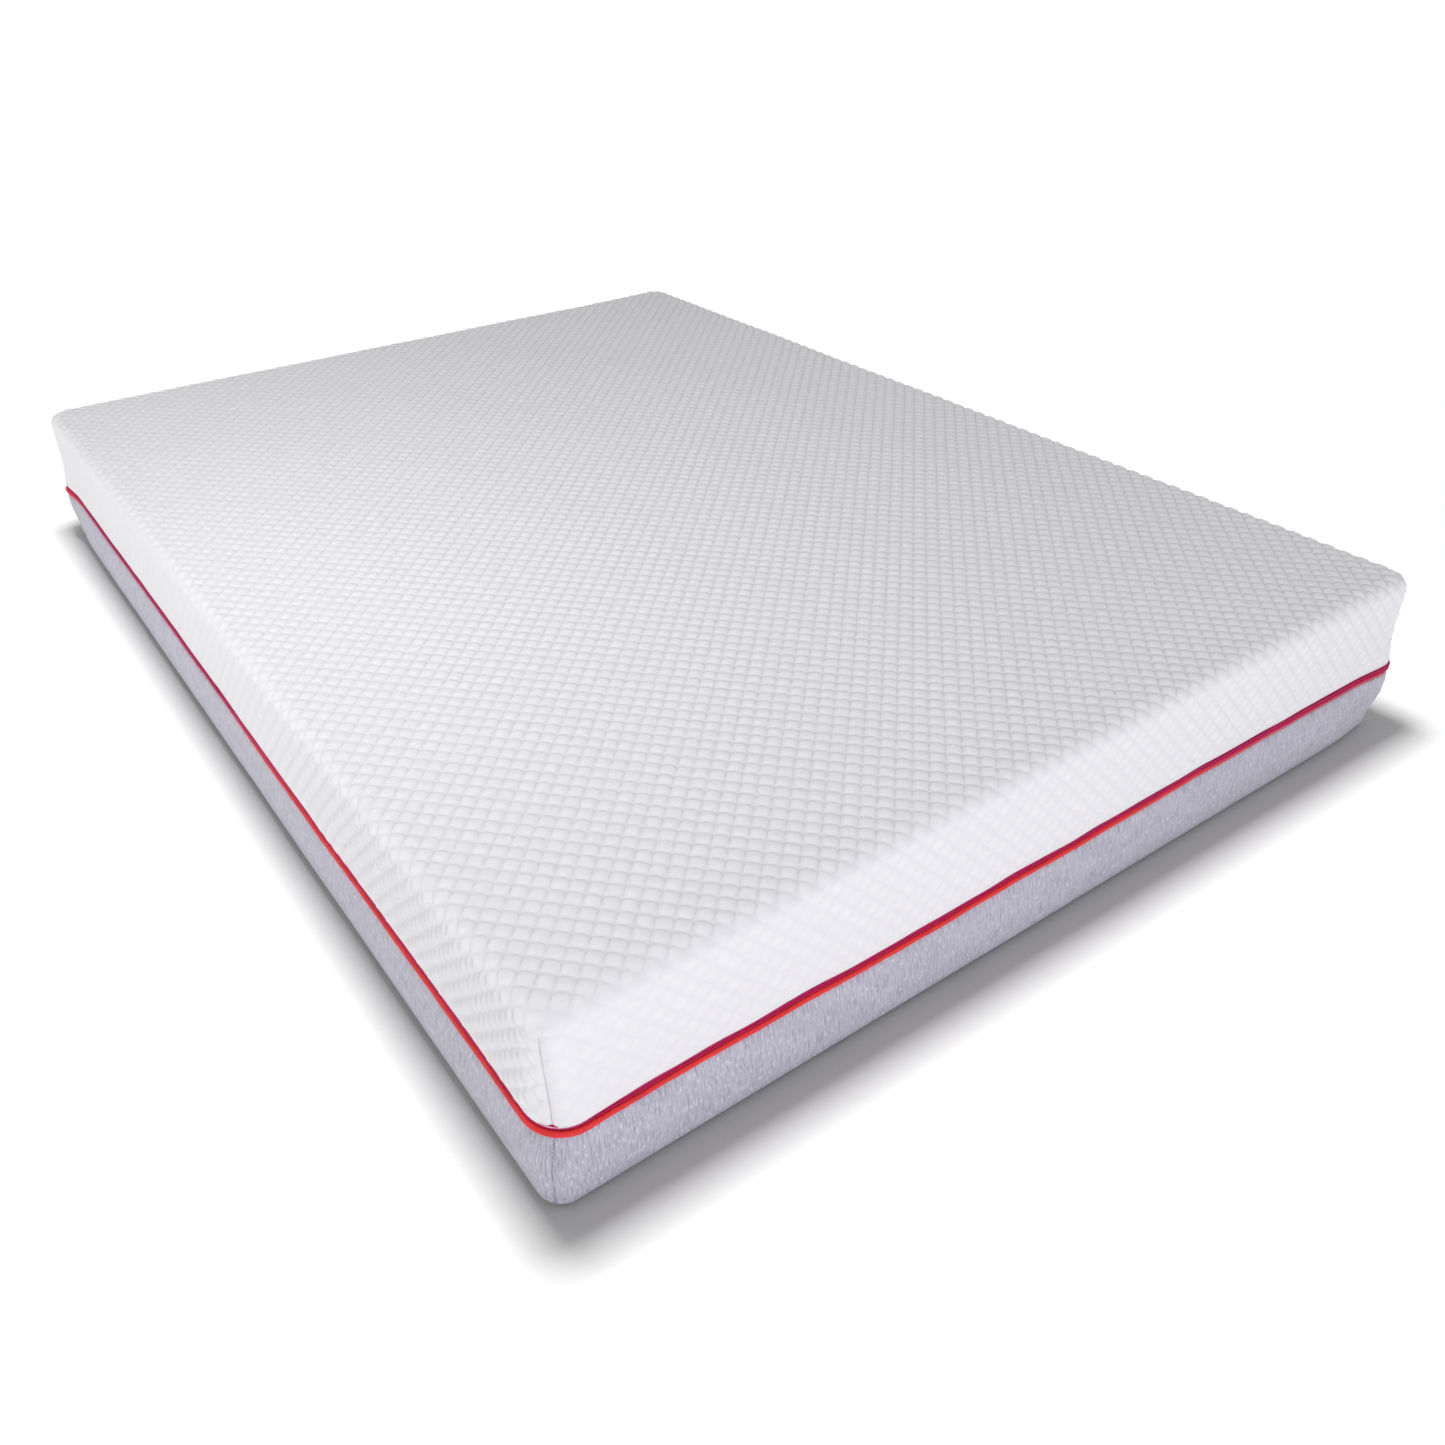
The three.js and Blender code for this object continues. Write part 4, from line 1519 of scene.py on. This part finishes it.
@dataclass
class Zip:
    """The crimson zip: two woven tapes and two spiral-wound coils.

    Attributes:
        tape_inset: Inset of the tapes' faces, mm.
        tape_thickness: Thickness of a tape, mm.
        tape_width: Width of a tape, mm.
        coil_inset: Inset of the coils' faces, mm.
        coil_thickness: Thickness of a coil, mm.
        coil_width: Height of a coil, mm.
        tooth: Distance from one turn of a coil to the next, mm.
        chain: Height of the line where the coils meet, mm.
        lead: Height of the cloth whose wander the zip follows, mm.
    """

    outline: Outline
    drape: Drape
    tape_inset: float = 8.3
    tape_thickness: float = 0.6
    tape_width: float = 16.0
    coil_inset: float = 5.6
    coil_thickness: float = 2.4
    coil_width: float = 1.8
    tooth: float = 2.4
    chain: float = 102.2
    lead: float = 100.0

    def follow(self, arc: np.ndarray, inset: np.ndarray, height: np.ndarray) -> tuple[np.ndarray, np.ndarray]:
        """Moves a section with the zip line's wander. Only what is near the chain bulges out.

        Args:
            arc: The stations, mm.
            inset: Section insets by station, mm.
            height: Section heights by station, mm.

        Returns:
            The moved insets and heights.
        """
        level = np.full(len(arc), self.lead)
        bulge = self.drape.zip_bulge(arc) * smoothstep(8.5, 3.5, np.abs(height - self.chain))
        return inset - self.drape.swelling(arc, level) - bulge, height + self.drape.rise(arc, level)

    def build_tape(self, half: ZipHalf) -> Piece:
        """Makes a woven tape with a rounded selvedge.

        Args:
            half: Which half of the zip it belongs to.

        Returns:
            The piece.
        """
        name, foot, _, _ = half.value
        arc = self.outline.stations(10.0, 3.0)
        levels = np.linspace(foot + self.tape_width, foot, 9)
        face = np.stack([np.full(len(levels), self.tape_inset), levels], -1)
        section = np.vstack([face, face[::-1] + (self.tape_thickness, 0.0)])
        inset, height = self.follow(arc, *spread(section, arc))
        return sweep(f"{name}_tape", self.outline, arc, inset, height, closed=True)

    def build_coil(self, half: ZipHalf) -> Piece:
        """Makes a coil as a strip whose turns stand out as rounded ridges.

        Args:
            half: Which half of the zip it belongs to.

        Returns:
            The piece.
        """
        name, _, foot, _ = half.value
        arc = self.outline.stations(self.tooth / 2.0, self.tooth / 2.0)
        turn = 0.5 - 0.5 * np.cos(2.0 * math.pi * np.arange(len(arc)) / 2.0)
        inner = self.coil_inset + self.coil_thickness
        outer, width = self.coil_inset, self.coil_width
        section = np.array([
            (outer + 0.5, width), (outer, width * 0.6), (outer, width * 0.3), (outer + 0.5, 0.0),
            (inner, 0.0), (inner, width),
        ])
        slim = 0.45 * (1.0 - turn)
        upper = half is ZipHalf.UPPER
        slack = (0.7 + (0.8 if upper else 2.4) * self.drape.roll(arc)) * self.drape.loose(arc)
        inset = section[:, :1] + slim * np.array([1, 1, 1, 1, 0, 0])[:, None]
        height = foot + section[:, 1:] + slim * np.array([-1, -0.4, 0.4, 1, 1, -1])[:, None] * 0.5
        share = section[:, 1:] / width
        height = height + slack * (share if upper else share - 1.0)
        inset, height = self.follow(arc, inset, height)
        return sweep(f"{name}_coil", self.outline, arc, inset, height, closed=True)

    def dress(self, half: ZipHalf, tape: Piece, coil: Piece) -> None:
        """Dresses and mounts one half.

        Args:
            half: Which half.
            tape: Its tape.
            coil: Its coil.
        """
        name, _, _, body = half.value
        woven = HerringboneTape(f"{name}_herringbone_tape", roughness=0.7, sheen=0.15)
        nylon = NylonCoil(f"{name}_drawn_nylon", roughness=0.55, ior=1.38, bump_depth=0.02)
        dress(tape, woven)
        dress(coil, nylon)
        for piece, kind in ((tape, "tape"), (coil, "coil")):
            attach(piece, body)
            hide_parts(f"{name}_zip_{kind}")

    def dress_fittings(self, nodes: dict[str, Piece]) -> None:
        """Gives the stops, box, pin, slider and pull their finishes.

        Args:
            nodes: The CAD's nodes by name.
        """
        nylon = NylonCoil("moulded_nylon", roughness=0.42, bump_depth=0.03).material()
        zinc = EnamelledZinc("enamelled_die_cast_zinc", roughness=0.28, bump_depth=0.02).material()
        looks = dict.fromkeys(("lower_end_stop", "upper_end_stop", "retainer_box", "insertion_pin"), nylon)
        looks |= dict.fromkeys(("zip_slider", "zip_pull"), zinc)
        for name, material in looks.items():
            nodes[name].data.materials.clear()
            nodes[name].data.materials.append(material)


@dataclass
class DartStitches:
    """The sewing thread that closes the corner darts, one lockstitch after another.

    Attributes:
        length: Length of a stitch, mm.
        pitch: Distance from one stitch to the next, mm.
        thickness: Thickness of the thread, mm.
        sides: How many points go round the thread.
    """

    length: float = 3.4
    pitch: float = 4.2
    thickness: float = 0.75
    sides: int = 6

    def sew(self, name: str, seams: list[np.ndarray]) -> Piece:
        """Sews along the given lines.

        Args:
            name: The piece's name.
            seams: Lines of points, mm.

        Returns:
            The piece.
        """
        points, faces, cloth = [], [], []
        shares, girths = (0.0, 0.12, 0.5, 0.88, 1.0), (0.25, 0.8, 1.0, 0.8, 0.25)
        turns = np.linspace(0.0, 2.0 * math.pi, self.sides, endpoint=False)
        for seam in seams:
            runs = np.concatenate([[0.0], np.linalg.norm(np.diff(seam, axis=0), axis=1).cumsum()])
            out = seam.mean(0) * (1.0, 1.0, 0.0)
            out /= np.linalg.norm(out)
            for start in np.arange(1.0, runs[-1] - self.length, self.pitch):
                first = len(points)
                for share, girth in zip(shares, girths):
                    run = start + share * self.length
                    middle = np.array([np.interp(run, runs, seam[:, axis]) for axis in range(3)])
                    ahead = np.array([np.interp(run + 0.5, runs, seam[:, axis]) for axis in range(3)])
                    ahead = ahead - middle
                    ahead /= np.linalg.norm(ahead)
                    side = np.cross(ahead, out)
                    side /= np.linalg.norm(side)
                    lift = np.cross(side, ahead)
                    radius = self.thickness / 2.0 * girth
                    middle = middle + lift * 0.25 * math.sin(share * math.pi)
                    points += [middle + radius * (math.cos(t) * side + math.sin(t) * lift) for t in turns]
                for ring in range(len(shares) - 1):
                    for at in range(self.sides):
                        after = (at + 1) % self.sides
                        low = first + ring * self.sides
                        faces.append([low + at, low + self.sides + at, low + self.sides + after, low + after])
                        cloth += [(at, ring), (at, ring + 1), (after, ring + 1), (after, ring)]
                faces.append([first + at for at in range(self.sides)])
                faces.append([first + (len(shares) - 1) * self.sides + at for at in range(self.sides)][::-1])
                cloth += [(0.0, 0.0)] * (2 * self.sides)
        return make_object(name, np.array(points) * MM, faces, {"cloth": np.array(cloth) * MM})

    def dress(self, piece: Piece, thread: str, slot: str, body: str) -> None:
        """Dresses and mounts the stitches.

        Args:
            piece: The stitches.
            thread: The colour of the thread, as hex.
            body: The body that they ride on.
        """
        dress(piece, SewingThread(f"{slot}_sewing_thread", roughness=0.6, thread=thread))
        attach(piece, body)


# ---------------------------------------------------------------- the core


@dataclass
class Sock:
    """The knitted sock over the foam, open underneath inside its rim.

    Attributes:
        inset: Inset of its walls, mm.
        thickness: Thickness of the jersey, mm.
        top: Height of its top, mm.
        foot: Height of its underside, mm.
        rim: Inset of its open edge underneath, mm.
        edge: Radius of the bend from the top to the walls, mm.
        drag: Depth of its drag lines, mm.
    """

    outline: Outline
    inset: float = 10.5
    thickness: float = 1.0
    top: float = 243.7
    foot: float = 2.8
    rim: float = 120.0
    edge: float = 16.0
    drag: float = 0.2

    def build(self) -> Piece:
        """Makes the sock as one closed skin with slight drag lines.

        Returns:
            The piece.
        """
        arc = self.outline.stations(14.0, 4.0)
        wall, foot, top = self.inset, self.foot, self.top
        outer = [
            (self.rim, foot), (wall + 22.0, foot), (wall + 5.0, foot + 4.0), (wall, foot + 16.0),
            (wall, 120.0), (wall, top - self.edge), (wall + 5.0, top - 4.5), (wall + self.edge, top),
            (70.0, top), (140.0, top),
        ]
        deeper = [(inset, top) for inset in (280.0, 420.0, 560.0, 680.0)]
        outer = np.vstack([smooth_section(outer, 9.0), deeper])
        slope = np.gradient(outer, axis=0)
        normal = np.stack([slope[:, 1], -slope[:, 0]], -1)
        normal /= np.linalg.norm(normal, axis=1)[:, None]
        inset, height = spread(np.vstack([outer, (outer + normal * self.thickness)[::-1]]), arc)
        lines = Ripple(41, self.outline.turn, 500.0, 90.0).at(np.broadcast_to(arc, inset.shape), height)
        inset = inset + bell(height - 125.0, 80.0) * (inset < 20.0) * self.drag * lines**2
        return sweep("knit_sock", self.outline, arc, inset[::-1], height[::-1], closed=True)

    def dress(self, piece: Piece) -> None:
        """Dresses and mounts the piece, and hides its CAD part.

        Args:
            piece: The piece.
        """
        dress(piece, SockJersey("undyed_jersey", sheen=0.2))
        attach(piece, "mattress_base")
        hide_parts("inner_sock")


@dataclass
class FoamLayer:
    """One layer of the core: a block with its top and bottom edges eased by the blade.

    Attributes:
        node: The CAD node that it stands for.
        name: The piece's name.
        finish: Its finish.
        slot: Its material slot's name; not used.
        inset: Inset from the outline, mm.
        ease_top: Radius of its upper edge, mm.
        ease_bottom: Radius of its lower edge, mm.
    """

    outline: Outline
    node: str
    name: str
    finish: CutFoam
    slot: str
    inset: float = 11.8
    ease_top: float = 1.5
    ease_bottom: float = 1.5

    def build(self) -> Piece:
        """Makes the block between the heights of its CAD solid.

        Returns:
            The piece.
        """
        low, high = (corner.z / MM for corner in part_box(self.node))
        arc = self.outline.stations(20.0, 6.0)
        side, top, bottom = self.inset, self.ease_top, self.ease_bottom
        section = [
            (300.0, high), (side + top, high), (side + 0.3 * top, high - 0.3 * top), (side, high - top),
            (side, (low + high) / 2), (side, low + bottom), (side + 0.3 * bottom, low + 0.3 * bottom),
            (side + bottom, low), (300.0, low),
        ]
        inset, height = spread(np.array(section), arc)
        cut = Ripple(51, self.outline.turn, 400.0, 120.0)
        inset[1:-1] += 0.25 * np.abs(cut.at(arc))
        return sweep(self.name, self.outline, arc, inset, height, caps=(0, -1))

    def dress(self, piece: Piece) -> None:
        """Dresses and mounts the piece, and hides its CAD part.

        Args:
            piece: The piece.
        """
        dress(piece, self.finish)
        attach(piece, "mattress_base")
        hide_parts(self.node)


# ---------------------------------------------------------------- the studio


@dataclass(frozen=True)
class SoftBox:
    """A square soft box that reaches only the floor or everything but the floor, as a flag makes it.

    Attributes:
        name: Its name.
        place: Where it hangs, metres.
        aim: What it faces, metres.
        size: Its side, metres.
        power: Watts.
        colour: Its colour, linear.
        reach: INCLUDE lights only the floor, EXCLUDE everything else.
    """

    name: str
    place: tuple[float, float, float]
    aim: tuple[float, float, float]
    size: float
    power: float
    colour: tuple[float, float, float] = (1.0, 1.0, 1.0)
    reach: str = "EXCLUDE"

    def hang(self, floor: Piece) -> None:
        """Hangs the light and flags it.

        Args:
            floor: The floor that it is flagged on or off.
        """
        data = bpy.data.lights.new(self.name, "AREA")
        data.size = self.size
        data.energy = self.power
        data.color = self.colour
        light = bpy.data.objects.new(self.name, data)
        light.location = self.place
        light.rotation_euler = (Vector(self.aim) - Vector(self.place)).to_track_quat("-Z", "Y").to_euler()
        bpy.context.scene.collection.objects.link(light)
        group = bpy.data.collections.new(f"{self.name}_reach")
        group.objects.link(floor)
        group.collection_objects[0].light_linking.link_state = self.reach
        light.light_linking.receiver_collection = group


@dataclass
class Studio:
    """The camera, the pale floor and soft light.

    Attributes:
        eye: Where the camera stands, metres.
        tilt: Its turn about X, Y and Z, degrees.
        lens: Its focal length, mm, on a sensor 36 mm wide.
        shift: Its shift, in shares of the picture's width.
        floor_reach: Half the floor's side, metres.
        glow_ring: Distances at which the paper's own glow starts and is full, metres.
        glow: The full glow's strength.
        room: Strength of the light from all sides.
    """

    eye: tuple[float, float, float] = (-1.00637, -1.65335, 1.07118)
    tilt: tuple[float, float, float] = (58.471, 0.811, -35.604)
    lens: float = 31.477
    shift: tuple[float, float] = (0.011, -0.0383)
    floor_reach: float = 60.0
    glow_ring: tuple[float, float] = (0.9, 4.5)
    glow: float = 0.8
    room: float = 0.47

    def place_camera(self) -> None:
        """Places the camera above the near corner."""
        data = bpy.data.cameras.new("view")
        data.lens = self.lens
        data.sensor_width = 36.0
        data.shift_x, data.shift_y = self.shift
        camera = bpy.data.objects.new("view", data)
        camera.location = self.eye
        camera.rotation_euler = Euler([math.radians(angle) for angle in self.tilt], "XYZ")
        bpy.context.scene.collection.objects.link(camera)
        bpy.context.scene.camera = camera

    def lay_floor(self) -> Piece:
        """Lays the paper floor.

        Returns:
            The floor.
        """
        half = self.floor_reach
        corners = np.array([(-half, -half, 0), (half, -half, 0), (half, half, 0), (-half, half, 0)])
        floor = make_object("floor", corners, [[0, 1, 2, 3]], {"cloth": corners[:, :2]})
        paper = StudioPaper("background_paper", roughness=0.9).material()
        self.glow_far_away(paper.node_tree)
        floor.data.materials.append(paper)
        return floor

    def glow_far_away(self, tree: Tree) -> None:
        """Keeps the paper white where the floor light no longer reaches.

        Args:
            tree: The paper's nodes.
        """
        space = add_node(tree, "ShaderNodeTexCoord")
        away = add_node(tree, "ShaderNodeVectorMath", {"operation": "LENGTH"}, {0: space.outputs["Object"]})
        start, full = self.glow_ring
        feeds = {"Value": away.outputs["Value"], "From Min": start, "From Max": full, "To Max": self.glow}
        glow = add_node(tree, "ShaderNodeMapRange", {"interpolation_type": "SMOOTHSTEP"}, feeds)
        shader = tree.nodes["Principled BSDF"]
        shader.inputs["Emission Color"].default_value = (1.0, 1.0, 1.0, 1.0)
        tree.links.new(glow.outputs["Result"], shader.inputs["Emission Strength"])

    def light(self, floor: Piece) -> None:
        """Sets the room light and the soft boxes.

        Args:
            floor: The paper floor.
        """
        scene = bpy.context.scene
        scene.view_settings.view_transform = "Standard"
        world = bpy.data.worlds.new("room")
        world.use_nodes = True
        world.node_tree.nodes["Background"].inputs["Color"].default_value = (1.0, 1.0, 1.0, 1.0)
        world.node_tree.nodes["Background"].inputs["Strength"].default_value = self.room
        scene.world = world
        for box in (
            SoftBox("key", (-1.0, -3.6, 1.5), (-0.3, -0.8, 0.15), 1.0, 34.0, colour=(0.92, 0.91, 1.0)),
            SoftBox("fill", (-3.3, 1.6, 1.1), (-0.7, 0.3, 0.15), 1.2, 13.0),
            SoftBox("top", (-0.9, -0.1, 1.5), (-0.9, -0.1, 0.25), 0.8, 8.5),
            SoftBox("floor_light", (-0.2, 0.05, 4.0), (-0.2, 0.05, 0.0), 0.9, 235.0, reach="INCLUDE"),
        ):
            box.hang(floor)


# ---------------------------------------------------------------- everything in order


def main() -> None:
    """Builds every piece round the frame."""
    logging.basicConfig(level=logging.INFO, format="%(name)s: %(message)s")
    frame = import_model()
    studio = Studio()
    studio.place_camera()
    low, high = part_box("piping_wrap")
    outline = Outline((high.x - low.x) / 2 / MM, (high.y - low.y) / 2 / MM, radius=48.0)
    drape = Drape(outline, seam_height=97.0)

    cover = TopCover(outline, drape)
    bubble_top = cover.build()
    cover.dress(bubble_top)
    LOG.info("bubble-knit top: %d faces", len(bubble_top.data.polygons))

    tray = BaseCover(outline, drape)
    tray_piece = tray.build()
    tray.dress(tray_piece)
    LOG.info("melange tray: %d faces", len(tray_piece.data.polygons))

    stitches = DartStitches()
    cover_stitches = stitches.sew("cover_dart_stitches", cover.darts())
    stitches.dress(cover_stitches, "#D2D2DA", "white_bubble_knit", "cover_top_half")
    tray_stitches = stitches.sew("tray_dart_stitches", tray.darts())
    stitches.dress(tray_stitches, "#7E7C90", "grey_melange_knit", "mattress_base")
    for sewn in (cover_stitches, tray_stitches):
        LOG.info("%s: %d faces", sewn.name, len(sewn.data.polygons))

    piping = Piping(outline, drape)
    wrap, cord = piping.build_wrap(), piping.build_cord()
    piping.dress(wrap, cord)
    for made in (wrap, cord):
        LOG.info("%s: %d faces", made.name, len(made.data.polygons))

    zip_line = Zip(outline, drape)
    for half in ZipHalf:
        tape, coil = zip_line.build_tape(half), zip_line.build_coil(half)
        zip_line.dress(half, tape, coil)
        for made in (tape, coil):
            LOG.info("%s: %d faces", made.name, len(made.data.polygons))
    zip_line.dress_fittings(frame["nodes"])

    sock = Sock(outline)
    sock_piece = sock.build()
    sock.dress(sock_piece)
    LOG.info("sock: %d faces", len(sock_piece.data.polygons))

    memory = CutFoam("cut_memory_foam")
    # Each foam's pit colour is painted shade in its open cells.
    transition = CutFoam("cut_transition_foam", body="#DEE8ED", pit="#C2D0D8")
    firm = CutFoam("cut_support_foam", body="#F2F2F0", pit="#DADAD6")
    edge = 14.0
    for layer in (
        FoamLayer(outline, "memory_foam_layer", "memory_foam_slab", memory, "memory_foam", ease_top=edge),
        FoamLayer(outline, "transition_foam_layer", "transition_foam_slab", transition, "transition_foam"),
        FoamLayer(outline, "support_foam_base", "support_foam_slab", firm, "support_foam", ease_bottom=edge),
    ):
        slab = layer.build()
        layer.dress(slab)
        LOG.info("%s: %d faces", layer.name, len(slab.data.polygons))

    studio.light(studio.lay_floor())


if __name__ == "__main__":
    main()
